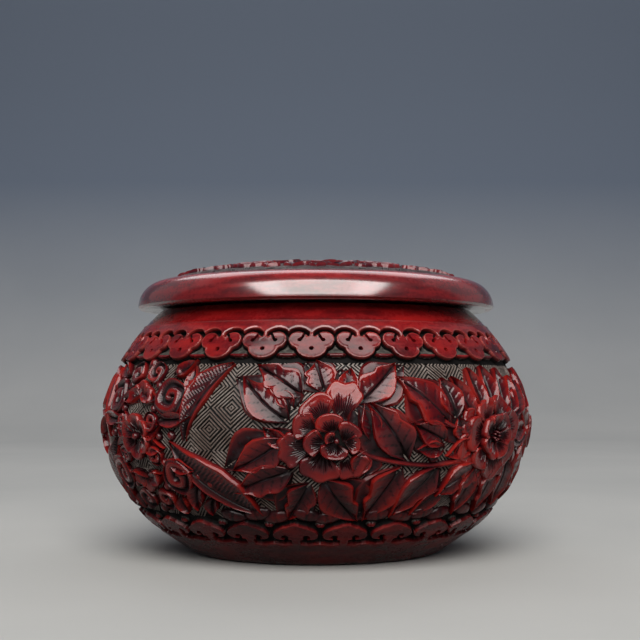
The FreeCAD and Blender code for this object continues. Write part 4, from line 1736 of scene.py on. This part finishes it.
class PeonyBranch(Maker):
    """A branch with three peonies, its leaves and its stalks."""

    surface: JarWall
    main: Point = (4.5, 38.0)
    side: Point = (51.0, 38.0)
    young: Point = (84.0, 38.6)
    stamens: Point = (1.3, 69.0)
    routes: tuple[tuple[Point, ...], ...] = (
        ((9.0, 35.4), (14.5, 32.4), (22.0, 30.6), (31.0, 30.0), (41.0, 33.0)),
        ((60.0, 36.0), (67.0, 34.4), (73.0, 35.4), (78.0, 38.0)),
        ((31.5, 29.8), (38.0, 30.6), (44.0, 30.0), (50.0, 28.0)),
        ((88.0, 37.4), (93.0, 35.0), (99.0, 34.4)),
        ((32.0, 43.0), (36.0, 41.0), (41.0, 40.4)))
    leaves: tuple[LeafPlace, ...] = tuple(LeafPlace(*row) for row in (
        ((-6.2, 43.0), (-17.4, 56.0), 10.4, BROAD, LOBED, -0.45, -1.2, 1.6),
        ((-3.0, 50.4), (-14.4, 59.0), 10.6, LOBED, SHOULDERED, 0.3, 0.4, 1.75),
        ((2.2, 51.5), (0.0, 60.4), 9.6, LOBED, BROAD, 0.4, 0, 1.4),
        ((10.4, 48.6), (20.2, 59.6), 10.8, SHOULDERED, BROAD, -0.35, 0.3, 1.75),
        ((22.6, 31.6), (12.6, 48.6), 12.0, BROAD, SHOULDERED, 0.4, 0.6, 1.5),
        ((34.0, 41.6), (20.4, 56.0), 12.4, SHOULDERED, BROAD, -0.35, 0.8, 1.7),
        ((33.2, 36.4), (23.6, 42.0), 8.4, BROAD, BROAD, 0.25, 0.3, 1.5),
        ((33.0, 34.4), (24.6, 34.8), 5.6, BROAD, BROAD, 0.2, 0.2, 1.2),
        ((21.4, 29.8), (13.8, 14.2), 11.6, BROAD, SHOULDERED, 0.35, 0.6, 1.5),
        ((32.0, 29.8), (21.4, 15.2), 10.8, SHOULDERED, BROAD, 0.35, 0.5, 1.6),
        ((-7.6, 38.0), (-20.2, 29.0), 10.6, SHOULDERED, BROAD, 0.35, -0.8, 1.55),
        ((-5.4, 28.8), (-20.4, 22.6), 10.0, LOBED, BROAD, -0.35, 0.5, 1.5),
        ((-1.4, 25.2), (-7.4, 14.4), 9.4, LOBED, SHOULDERED, 0.25, 0, 1.35),
        ((1.6, 26.6), (11.0, 14.0), 12.2, SHOULDERED, BROAD, -0.35, 0.4, 1.5),
        ((13.4, 37.0), (11.4, 48.6), 6.6, BROAD, BROAD, -0.3, 0.6, 1.0),
        ((12.4, 35.0), (9.4, 27.0), 6.6, BROAD, BROAD, 0.3, 0.2, 1.2),
        ((6.6, 50.0), (8.6, 58.6), 6.2, BROAD, BROAD, 0.3, 0.2, 1.1),
        ((-5.4, 46.6), (-9.2, 52.6), 5.6, BROAD, BROAD, -0.2, 0, 1.1),
        ((38.6, 36.6), (36.0, 44.0), 7.0, BROAD, LOBED, 0.3, 0.3, 1.3),
        ((-6.6, 35.0), (-12.4, 41.6), 5.4, BROAD, BROAD, 0.2, 0, 1.1),
        ((36.0, 43.5), (32.8, 55.6), 9.2, BROAD, BROAD, 0.3, 0.3),
        ((46.0, 29.6), (33.4, 20.8), 10.6, SHOULDERED, BROAD, 0.35, 0.5),
        ((36.0, 23.0), (27.0, 15.0), 6.6, BROAD, BROAD, 0.2, 0.3, 1.3),
        ((45.0, 28.6), (43.0, 14.8), 9.2, BROAD, LOBED, 0.3, 0, 1.4),
        ((61.0, 30.2), (64.6, 16.0), 10.2, LOBED, BROAD, -0.3, 0),
        ((54.0, 28.4), (53.6, 14.8), 9.8, BROAD, SHOULDERED, 0.3, 0.2),
        ((63.4, 44.0), (70.6, 57.0), 10.0, LOBED, BROAD, 0.3, -0.3),
        ((66.0, 33.4), (76.6, 21.0), 10.8, BROAD, LOBED, 0.3, 0.3),
        ((78.0, 45.6), (79.4, 59.4), 9.8, LOBED, SHOULDERED, 0.3, 0),
        ((88.6, 45.0), (98.4, 57.6), 10.4, LOBED, BROAD, 0.3, 0.3),
        ((91.6, 39.6), (105.6, 43.6), 9.6, BROAD, LOBED, 0.3, 0.4),
        ((91.0, 34.6), (104.6, 31.0), 9.2, LOBED, BROAD, -0.3, 0.4),
        ((88.0, 31.6), (97.6, 17.2), 10.2, BROAD, BROAD, -0.3, 0.3),
        ((82.6, 31.0), (84.6, 15.2), 10.0, LOBED, LOBED, 0.2, 0),
        ((77.6, 38.0), (67.0, 46.4), 8.8, BROAD, SHOULDERED, 0.3, 0.3, 1.2),
        ((60.0, 38.6), (71.0, 40.4), 7.2, BROAD, BROAD, 0.2, 0.3, 1.1),
        ((73.6, 35.0), (67.4, 28.0), 6.8, BROAD, BROAD, 0.2, 0.2, 1.1),
        ((43.0, 36.2), (33.4, 32.4), 7.0, BROAD, BROAD, 0.2, 0.2, 1.0),
    ))
    tufts: tuple[tuple[Point, Point, float], ...] = (
        ((41.6, 44.0), (36.4, 56.0), 6.4), ((46.0, 46.0), (42.8, 58.6), 6.4),
        ((50.6, 47.0), (49.2, 59.4), 6.8), ((55.0, 46.0), (56.2, 58.8), 6.6),
        ((59.4, 44.0), (63.4, 56.6), 6.4), ((73.6, 44.6), (72.8, 53.6), 5.6),
    )
    border_buds: tuple[float, ...] = (-24.0, -16.5, -11.0, -2.6, 3.2, 17.4, 24.6, 31.6, 38.2,
                                      48.4, 58.8, 70.2, 78.6, 90.5, 97.0, 103.0)
    main_petals: tuple[PetalPlace, ...] = tuple(PetalPlace(*row) for row in (
        ((1.8, -3.2), 306, 9.6, 84, 0.2, 1.5, 13, 2.5),
        ((-3.0, -3.4), 255, 9.6, 108, 0.3, 1.7, 17, 3),
        ((-5.0, -2.0), 188, 11.4, 72, 0.4, 1.75, 13),
        ((1.5, 3.6), 83, 13.8, 62, 0.3, 1.9, 13, 2.5),
        ((-2.8, 4.8), 118, 9.0, 98, 0.6, 2.0, 13, 1.5),
        ((-4.8, 2.0), 154, 7.8, 92, 0.7, 2.05, 13, 1.5),
        ((-2.6, -1.4), 172, 6.4, 106, 0.8, 2.3, 11, 1.5),
        ((-0.6, 1.4), 110, 6.4, 108, 1.0, 2.4, 11, 1),
        ((2.2, -1.4), 66, 6.8, 82, 1.0, 2.5, 9, 1),
        ((0.0, -1.0), 258, 5.2, 140, 1.0, 2.3, 13, 1.5),
        ((2.4, -0.8), 350, 4.8, 96, 1.2, 2.25, 8, 1),
        ((-0.4, -0.6), 140, 3.0, 110, 1.7, 2.6, 6, 1),
    ))

    def petal(self, carving: Carving, middle: Point, place: PetalPlace, phase: float) -> None:
        """Cut one petal of a blossom.

        Args:
            carving: the piece that it belongs to.
            middle: the blossom's azimuth and height.
            place: how the petal lies.
            phase: how its ruffles start.
        """
        meridian = self.surface.meridian
        radius = float(meridian.at(meridian.length_at(middle[1]))[0])
        azimuth = middle[0] + math.degrees(place.root[0] / radius)
        form = Petal(place.length, place.spread, place.low, place.high, place.lines,
                     place.ruffles, phase=phase)
        carving.add(form, Spot(azimuth, middle[1] + place.root[1], place.direction - 90))

    def whorl(self, carving: Carving, middle: Point, count: int, root: float, length: float,
              low: float, high: float, first: float) -> None:
        """Cut a ring of petals round a blossom's middle.

        Args:
            carving: the piece that they belong to.
            middle: the blossom's azimuth and height.
            count: how many petals.
            root: how far from the middle they start.
            length: how long they are.
            low: lift at their roots.
            high: lift at their rims.
            first: direction of the first petal.
        """
        for index in range(count):
            way = first + 360 * index / count
            across, up = unit(way)
            size = length * (1 + 0.10 * math.sin(2.4 * index + first))
            place = PetalPlace((root * across, root * up), way, size, 600 / count, low, high,
                               lines=11, ruffles=1.5)
            self.petal(carving, middle, place, 1.3 * index)

    def main_blossom(self, turn: float) -> Carving:
        """Cut the large peony, petal by petal.

        Args:
            turn: degrees from the front.

        Returns:
            The carving.
        """
        carving = Carving(self.surface)
        middle = (self.main[0] + turn, self.main[1])
        for index, place in enumerate(self.main_petals):
            self.petal(carving, middle, place, 1.1 * index)
        carving.add(Bead(0.9, 0.9, 2.5, 1.4), Spot(middle[0] + 0.2, middle[1] - 0.5))
        return carving

    def side_blossom(self, turn: float) -> Carving:
        """Cut the second peony, open towards its pit of stamens.

        Args:
            turn: degrees from the front.

        Returns:
            The carving.
        """
        carving = Carving(self.surface)
        middle = (self.side[0] + turn, self.side[1])
        for index, way in enumerate((232, 196, 160, 268, 305)):
            across, up = unit(way)
            place = PetalPlace((6.4 * across, 6.0 * up), way, 11.6 - 0.5 * index, 74, 0.1, 1.35,
                               lines=13, ruffles=2)
            self.petal(carving, middle, place, 1.7 * index)
        self.whorl(carving, middle, 7, 4.2, 9.4, 0.5, 1.9, 20)
        self.whorl(carving, middle, 7, 1.9, 5.6, 0.9, 2.5, 0)
        reach, radius = self.stamens
        for index in range(7):
            across, up = unit(360 * index / 7)
            azimuth = middle[0] + math.degrees(reach * across / radius)
            carving.add(Bead(0.45, 0.45, 1.9, 0.8, cells=(6, 6)),
                        Spot(azimuth, middle[1] + reach * up))
        return carving

    def young_blossom(self, turn: float) -> Carving:
        """Cut the small peony at the branch's end.

        Args:
            turn: degrees from the front.

        Returns:
            The carving.
        """
        carving = Carving(self.surface)
        middle = (self.young[0] + turn, self.young[1])
        self.whorl(carving, middle, 6, 2.2, 7.4, 0.4, 1.8, 10)
        self.whorl(carving, middle, 5, 0.9, 4.8, 0.9, 2.5, 45)
        carving.add(Bead(0.9, 0.9, 2.4, 1.2), Spot(*middle))
        return carving

    def leafage(self, turn: float) -> Carving:
        """Cut the leaves, the tufts over the side blossom and the border buds.

        Args:
            turn: degrees from the front.

        Returns:
            The carving.
        """
        carving = Carving(self.surface)
        # Low leaves under the rest: their shade colours them darker, painted shade in the gaps
        # between the leaves.
        low = {"left": BROAD, "right": BROAD, "dish": 0.35, "tilt": 0.1, "shade": 0.46}
        for index, place in enumerate(self.leaves):
            base, tip = ((azimuth + turn, height) for azimuth, height in (place.base, place.tip))
            carving.grow(base, tip, width=place.width, left=place.left, right=place.right,
                         tilt=place.tilt, bow=place.bow, lift=place.lift, phase=0.37 * index)
            lean = 2.5 if index % 2 else -2.5
            carving.grow(base, (tip[0] + lean, tip[1]), width=1.45 * place.width, lift=0.75,
                         bow=-place.bow, root_dip=0.2, phase=0.61 * index, cells=(24, 18), **low)
        for index, (base, tip, width) in enumerate(self.tufts):
            base, tip = ((azimuth + turn, height) for azimuth, height in (base, tip))
            carving.grow(base, tip, width=1.5 * width, lift=0.7, cells=(20, 14), **low)
            carving.grow(base, tip, width=width, left=BROAD, right=BROAD, veins=5,
                         lift=1.4 + 0.3 * (index % 2), dish=1.0, cells=(30, 18))
        for index, azimuth in enumerate(self.border_buds):
            spot = Spot(azimuth + turn, 14.8 + 0.8 * (index % 2), 14 - 28 * (index % 3 == 0))
            carving.add(Bead(4.4, 2.3, 2.1, 0.6, 5), spot)
        return carving

    def stalks(self, turn: float) -> Carving:
        """Cut the stalks between the blossoms and the leaves.

        Args:
            turn: degrees from the front.

        Returns:
            The carving.
        """
        carving = Carving(self.surface)
        for route in self.routes:
            spot = Spot(route[0][0] + turn, route[0][1])
            steps = tuple(self.surface.step(spot, azimuth + turn, height)
                          for azimuth, height in route)
            carving.add(Stem(steps, 2.0, 1.6), spot)
        return carving

    def build(self) -> None:
        """Build the branch on the front, and again on the back."""
        kinds = {"main_blossom": self.main_blossom, "side_blossom": self.side_blossom,
                 "young_blossom": self.young_blossom, "leaves": self.leafage,
                 "stems": self.stalks}
        for side, turn in (("front", 0.0), ("back", 180.0)):
            for name, cut in kinds.items():
                self.carved(f"{side}_{name}", cut(turn))


class Medallion(Maker):
    """Scrollwork at the side: blades, volutes, knots and a rosette, alike left and right."""

    centre: float = -50.4
    middle_height: float = 38.0
    fan_reach: float = 10.6
    rosette: Point = (1.6, 70.0)
    blades: tuple[tuple[Point, Point, float], ...] = (
        ((17.2, 36.8), (28.4, 59.8), 12.6), ((12.0, 36.8), (33.4, 15.8), 18.0))
    scrolls: tuple[tuple[float, float, float, float], ...] = (
        (12.2, 50.2, 6.0, 40), (13.0, 26.0, 5.8, 160), (4.6, 57.4, 3.6, 90), (4.8, 19.0, 3.8, 270),
        (6.2, 42.8, 3.0, 10), (6.8, 32.2, 3.0, 200))
    knots: tuple[tuple[Point, Point, float], ...] = (
        ((2.0, 39.0), (10.2, 41.6), 6.0), ((2.0, 37.0), (10.4, 34.6), 6.0),
        ((8.6, 43.4), (19.6, 44.4), 5.0), ((0.0, 52.0), (8.6, 49.0), 4.6),
        ((10.6, 56.6), (18.0, 60.8), 5.4), ((16.6, 51.0), (18.4, 59.0), 4.2),
        ((11.0, 31.4), (19.0, 28.6), 4.6), ((0.0, 25.0), (8.0, 27.0), 4.6),
        ((18.8, 24.4), (16.0, 16.6), 5.6), ((22.4, 20.4), (20.4, 15.4), 4.4),
        ((10.6, 20.2), (11.4, 15.4), 5.0))
    drops: tuple[tuple[float, float, float], ...] = (
        (18.4, 47.2, 1.2), (17.6, 54.2, 1.1), (6.6, 53.6, 1.2), (6.8, 46.6, 1.1), (12.4, 57.6, 1.2),
        (9.2, 30.2, 1.1), (19.6, 26.6, 1.1), (7.2, 23.0, 1.2), (9.0, 38.2, 1.1), (13.2, 38.6, 1.3),
        (0.0, 60.4, 1.4), (0.0, 15.8, 1.4), (22.6, 24.4, 1.2), (25.6, 18.8, 1.1), (9.0, 15.6, 1.2))

    def half(self, carving: Carving, middle: float, side: int) -> None:
        """Cut one half of a medallion.

        Args:
            carving: the piece that it belongs to.
            middle: the medallion's azimuth.
            side: 1 for the half to the right, -1 for its mirror image.
        """
        for index, (base, tip, width) in enumerate(self.blades):
            edges = (LeafEdge.BLADE, LeafEdge.SPINE)[::1 if side > 0 else -1]
            carving.grow((middle + side * base[0], base[1]), (middle + side * tip[0], tip[1]),
                         width=width, left=edges[0], right=edges[1], hatched=-side,
                         bow=side * (2.4 if index else 1.8) * (1 if index else -1), lift=1.65,
                         dish=0.5, tilt=-0.3 * side, cells=(64, 30))
        for away, height, radius, start in self.scrolls:
            form = Scroll(radius, side, start=math.radians(start), turns=1.5 if radius > 5 else 1.1)
            carving.add(form, Spot(middle + side * away, height, side * 20))
        for index, (base, tip, width) in enumerate(self.knots):
            carving.grow((middle + side * base[0], base[1]), (middle + side * tip[0], tip[1]),
                         width=width, left=BROAD, right=BROAD, bow=0.6 * side,
                         lift=1.5 + 0.1 * (index % 3), phase=0.4 * index, cells=(28, 20))
        for away, height, radius in self.drops:
            bead = Bead(radius, radius * 1.25, 1.9, 0.5, cells=(8, 8))
            carving.add(bead, Spot(middle + side * away, height, 25 * side))

    def carving(self, turn: float) -> Carving:
        """Return one medallion.

        Args:
            turn: degrees round the jar from the left medallion.

        Returns:
            Its carved bodies.
        """
        carving = Carving(self.surface)
        middle, centre_height = self.centre + turn, self.middle_height
        for side in (1, -1):
            self.half(carving, middle, side)
        for way in (1, -1):
            height = centre_height + way * self.fan_reach
            for tilt in (-58, 58, 0):
                carving.add(Petal(6.8, 76, 0.5, 2.0, 9), Spot(middle, height, 90 - way * 90 + tilt))
        reach, radius = self.rosette
        for index in range(6):
            way = 30 + 60 * index
            across, up = unit(way)
            azimuth = middle + math.degrees(reach * across / radius)
            carving.add(Petal(5.4, 92, 1.0, 2.5, 9, 1),
                        Spot(azimuth, centre_height + reach * up, way - 90))
        carving.add(Bead(1.2, 1.2, 2.6, 1.3), Spot(middle, centre_height))
        return carving

    def build(self) -> None:
        """Build both medallions."""
        for side, turn in (("left", 0.0), ("right", 180.0)):
            self.carved(side + "_medallion", self.carving(turn))


class Lid(Maker):
    """The lid: its band, its carved dome and its black underside."""

    body = "lid"
    middle: Spot = Spot(0, 0.001)

    def __init__(self, shape: LidShape, finishes: Finishes) -> None:
        """Keep the sizes, the dome and the finishes."""
        super().__init__(LidDome(shape), finishes)
        self.shape = shape

    def turned(self, node: str, slot: str, finish: Material, outline: Sequence[Point],
               steps: int = 200, carve: float = 0.8) -> None:
        """Show a turned piece whose outline counts its heights from the seat."""
        lifted = [(radius, height + self.shape.seat) for radius, height in outline]
        super().turned(node, slot, finish, lifted, steps, carve)

    def band(self) -> None:
        """Turn the polished cushion moulding round the edge."""
        s = self.shape
        edge = (s.radius, s.chamfer)
        top = [(s.field_radius + out, s.band_height + up) for out, up in s.band_steps]
        foot = rounded([(s.core_edge, 0, 0), (s.radius - s.chamfer, 0, 0.3), (*edge, 0)])[:-1]
        arc = joined_arc(edge, 0, top[0]).points(count=30)
        self.turned("lid_band", "smooth_red_lacquer", self.finishes.polished,
                    foot + arc + top[1:] + list(s.band_back))

    def field(self) -> None:
        """Turn the dark ground of the dome."""
        s = self.shape
        top = [(r, z - s.relief - s.seat) for r, z in s.dome()]
        under = [(r, z - s.coat) for r, z in top]
        self.turned("lid_field_coat", "ground_lacquer", self.finishes.ground,
                    under + top[::-1])

    def underside(self) -> None:
        """Show the black coats and the locating ring under the lid."""
        s, black = self.shape, self.finishes.black
        self.turned("lid_underside_coat", "black_lacquer", black,
                    [(s.ring_radius, 0), (s.core_edge, 0), (s.core_edge, s.underside),
                     (s.ring_radius, s.underside)])
        inner = s.ring_radius - s.ring_thickness
        self.turned("lid_hollow_coat", "black_lacquer", black,
                    [(0, s.hollow - s.underside), (inner, s.hollow - s.underside),
                     (inner, s.hollow), (0, s.hollow)])
        self.turned("lid_locating_ring", "lacquered_wood", black,
                    rounded([(inner, -s.ring_drop, 0.7), (s.ring_radius, -s.ring_drop, 0.7),
                             (s.ring_radius, s.hollow, 0), (inner, s.hollow, 0)]))

    def diaper(self) -> None:
        """Cut the dome's diaper."""
        pitch, reach, cells = 4.7, 54.0, []
        for row in range(-12, 13):
            for column in range(-12, 13):
                if (row + column) % 2:
                    continue
                x, y = column * pitch, row * pitch
                if math.hypot(x, y) < reach:
                    azimuth = math.degrees(math.atan2(x, -y)) if x or y else 0
                    spot = Spot(azimuth, math.hypot(x, y), -azimuth)
                    cells.append((spot, (pitch, pitch)))
        self.squared("cut_lid_diaper", cells)

    def whorl(self, carving: Carving, middle: Spot, count: int, root: float, form: Petal) -> None:
        """Cut a ring of petals on the dome.

        Args:
            carving: the piece that they belong to.
            middle: where the ring stands.
            count: how many petals.
            root: how far from the middle they start.
            form: the petals' form.
        """
        for index in range(count):
            way = 360 * index / count
            across, up = unit(90 - way)
            reach = math.hypot(root * across, middle.height + root * up)
            turn = math.degrees(math.atan2(root * across, middle.height + root * up))
            carving.add(form, Spot(middle.azimuth + turn, reach, turn - way))

    def carvings(self) -> None:
        """Cut the peony, its leaves and the ring of buds."""
        peony, leaves, buds = (Carving(self.surface) for _ in range(3))
        self.whorl(peony, self.middle, 7, 4.8, Petal(8.6, 78, 0.4, 1.35, 11))
        self.whorl(peony, Spot(26, self.middle.height), 5, 1.8, Petal(6.4, 104, 0.7, 1.7, 11))
        peony.add(Bead(1.6, 1.6, 1.75, 1.0), self.middle)
        low = {"lift": 0.85, "tilt": 0.15, "root_dip": 0.3, "dish": 0.5}
        for index in range(8):
            azimuth = 45 * index
            leaves.grow((azimuth, 14.4), (azimuth + 3, 31.6), width=11.0, phase=0.3 * index, **low)
            leaves.grow((azimuth + 22.5, 17.5), (azimuth + 22.5, 31), width=7.6,
                        phase=0.5 * index, cells=(28, 20), **low)
        for index in range(6):
            azimuth = 60 * index
            for turn in (-9, 9):
                leaves.grow((azimuth + turn, 33.4), (azimuth + turn, 45.2), width=8.6,
                            phase=0.2 * index, cells=(30, 22), **low)
            for turn in (0, 18.6, -18.6):
                leaves.grow((azimuth + turn, 39.6), (azimuth + turn, 46.4), width=5.4,
                            cells=(20, 14), **low)
            azimuth += 30
            self.whorl(buds, Spot(azimuth, 38.4), 6, 1.0, Petal(5.2, 84, 0.35, 1.45, 9, 1))
            buds.add(Bead(0.9, 0.9, 1.7, 0.6, cells=(8, 8)), Spot(azimuth, 38.4))
        self.carved("lid_peony", peony)
        self.carved("lid_leaves", leaves)
        self.carved("lid_buds", buds)

    def build(self) -> None:
        """Build every piece of the lid."""
        self.band()
        self.field()
        self.underside()
        self.diaper()
        self.carvings()


@dataclass(frozen=True)
class SoftBox:
    """A soft box: its place, the height on the axis that it faces, its size and its light."""

    name: str
    place: tuple[float, float, float]
    aim_height: float
    size: Point
    watts: float
    colour: tuple[float, float, float]
    on_matte: bool = True

    def hang(self) -> None:
        """Hang the lamp; one that is off on matte faces only gives highlights."""
        data = bpy.data.lights.new(self.name, "AREA")
        data.shape = "RECTANGLE"
        data.size, data.size_y = self.size
        data.energy, data.color = self.watts, self.colour
        lamp = bpy.data.objects.new(self.name, data)
        lamp.location = self.place
        aim = Vector((0, 0, self.aim_height)) - Vector(self.place)
        lamp.rotation_euler = aim.to_track_quat("-Z", "Y").to_euler()
        lamp.visible_diffuse = self.on_matte
        bpy.context.scene.collection.objects.link(lamp)


@dataclass(frozen=True)
class Studio:
    """The floor, the lamps and the camera at the photograph's viewing angle."""

    boxes: tuple[SoftBox, ...] = (
        SoftBox("front_box", (0.03, -0.95, 0.92), 0.06, (0.9, 1.15), 17, (1, 0.99, 0.95)),
        SoftBox("gloss_card", (0.03, -0.95, 0.92), 0.06, (1.8, 1.5), 64, (1, 0.99, 0.97), False),
        SoftBox("back_box", (0, 1.0, 1.25), 0.05, (1.5, 0.8), 6, (0.95, 0.97, 1)),
        SoftBox("left_box", (-1.3, 1.15, 0.9), 0.05, (2.2, 2.0), 2.4, (0.95, 0.97, 1)),
        SoftBox("right_box", (1.3, 1.15, 0.9), 0.05, (2.2, 2.0), 2.4, (0.95, 0.97, 1)),
    )
    distance: float = 0.401
    camera_height: float = 0.0524
    pitch: float = 3.18
    yaw: float = 0.19
    focal_pixels: float = 1215.0
    frame_pixels: float = 640.0
    floor_half: float = 2.2
    backdrop_start: float = 0.8
    backdrop_curve: float = 0.6
    sky: tuple = (0.50, 0.58, 0.74, 1)
    sky_strength: float = 0.12

    def floor(self) -> None:
        """Lay a pale sheet that runs up behind the jar in one sweep."""
        bm = bmesh.new()
        bmesh.ops.create_grid(bm, x_segments=2, y_segments=48, size=self.floor_half)
        start, curve = self.backdrop_start, self.backdrop_curve
        for vert in bm.verts:
            over = vert.co.y - start
            if over > 0:
                turn = min(over / curve, math.pi / 2)
                rise = max(0.0, over - curve * math.pi / 2)
                vert.co.y = start + curve * math.sin(turn)
                vert.co.z = curve * (1 - math.cos(turn)) + rise
        mesh = to_mesh(bm, "stage_sheet")
        mesh.shade_smooth()
        mesh.materials.append(StageCloth().material())
        sheet = bpy.data.objects.new("stage_sheet", mesh)
        bpy.context.scene.collection.objects.link(sheet)

    def lamps(self) -> None:
        """Hang the soft boxes and set the pale surroundings."""
        for box in self.boxes:
            box.hang()
        world = bpy.data.worlds.new("surroundings")
        world.use_nodes = True
        light = world.node_tree.nodes["Background"]
        light.inputs["Color"].default_value = self.sky
        light.inputs["Strength"].default_value = self.sky_strength
        bpy.context.scene.world = world

    def camera(self) -> None:
        """Set the camera at the photograph's height, distance and tilt."""
        data = bpy.data.cameras.new("photo_view")
        data.sensor_width = 36.0
        data.lens = data.sensor_width * self.focal_pixels / self.frame_pixels
        data.clip_start = 0.01
        camera = bpy.data.objects.new("photo_view", data)
        camera.location = (0, -self.distance, self.camera_height)
        camera.rotation_euler = (math.radians(90 + self.pitch), 0, math.radians(-self.yaw))
        bpy.context.scene.collection.objects.link(camera)
        bpy.context.scene.camera = camera

    def build(self) -> None:
        """Set up the floor, the lamps and the camera."""
        self.floor()
        self.lamps()
        self.camera()
        bpy.context.scene.view_settings.view_transform = "Standard"


def dress_frame(finishes: Finishes) -> None:
    """Give every CAD node the finish of its slot.

    Args:
        finishes: the jar's finishes.
    """
    by_slot = {"lacquered_wood": finishes.wood, "black_lacquer": finishes.black,
               "ground_lacquer": finishes.ground, "smooth_red_lacquer": finishes.polished,
               "carved_red_lacquer": finishes.carved}
    for part in frame["record"]["subparts"]:
        materials = frame["nodes"][part["node"]].data.materials
        materials.clear()
        materials.append(by_slot[part["material_slot"]])


def write_sizes() -> None:
    """Bring the view layer up to date."""
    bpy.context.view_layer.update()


def main() -> None:
    """Build the jar's looks, piece by piece, and the studio round it."""
    logging.basicConfig(level=logging.INFO, format="%(message)s")
    finishes = Finishes()
    dress_frame(finishes)
    shape = JarShape()
    wall = JarWall(shape)
    JarBody(shape, wall, finishes).build()
    PeonyBranch(wall, finishes).build()
    Medallion(wall, finishes).build()
    Lid(LidShape(), finishes).build()
    Studio().build()
    write_sizes()


if __name__ == "__main__":
    main()
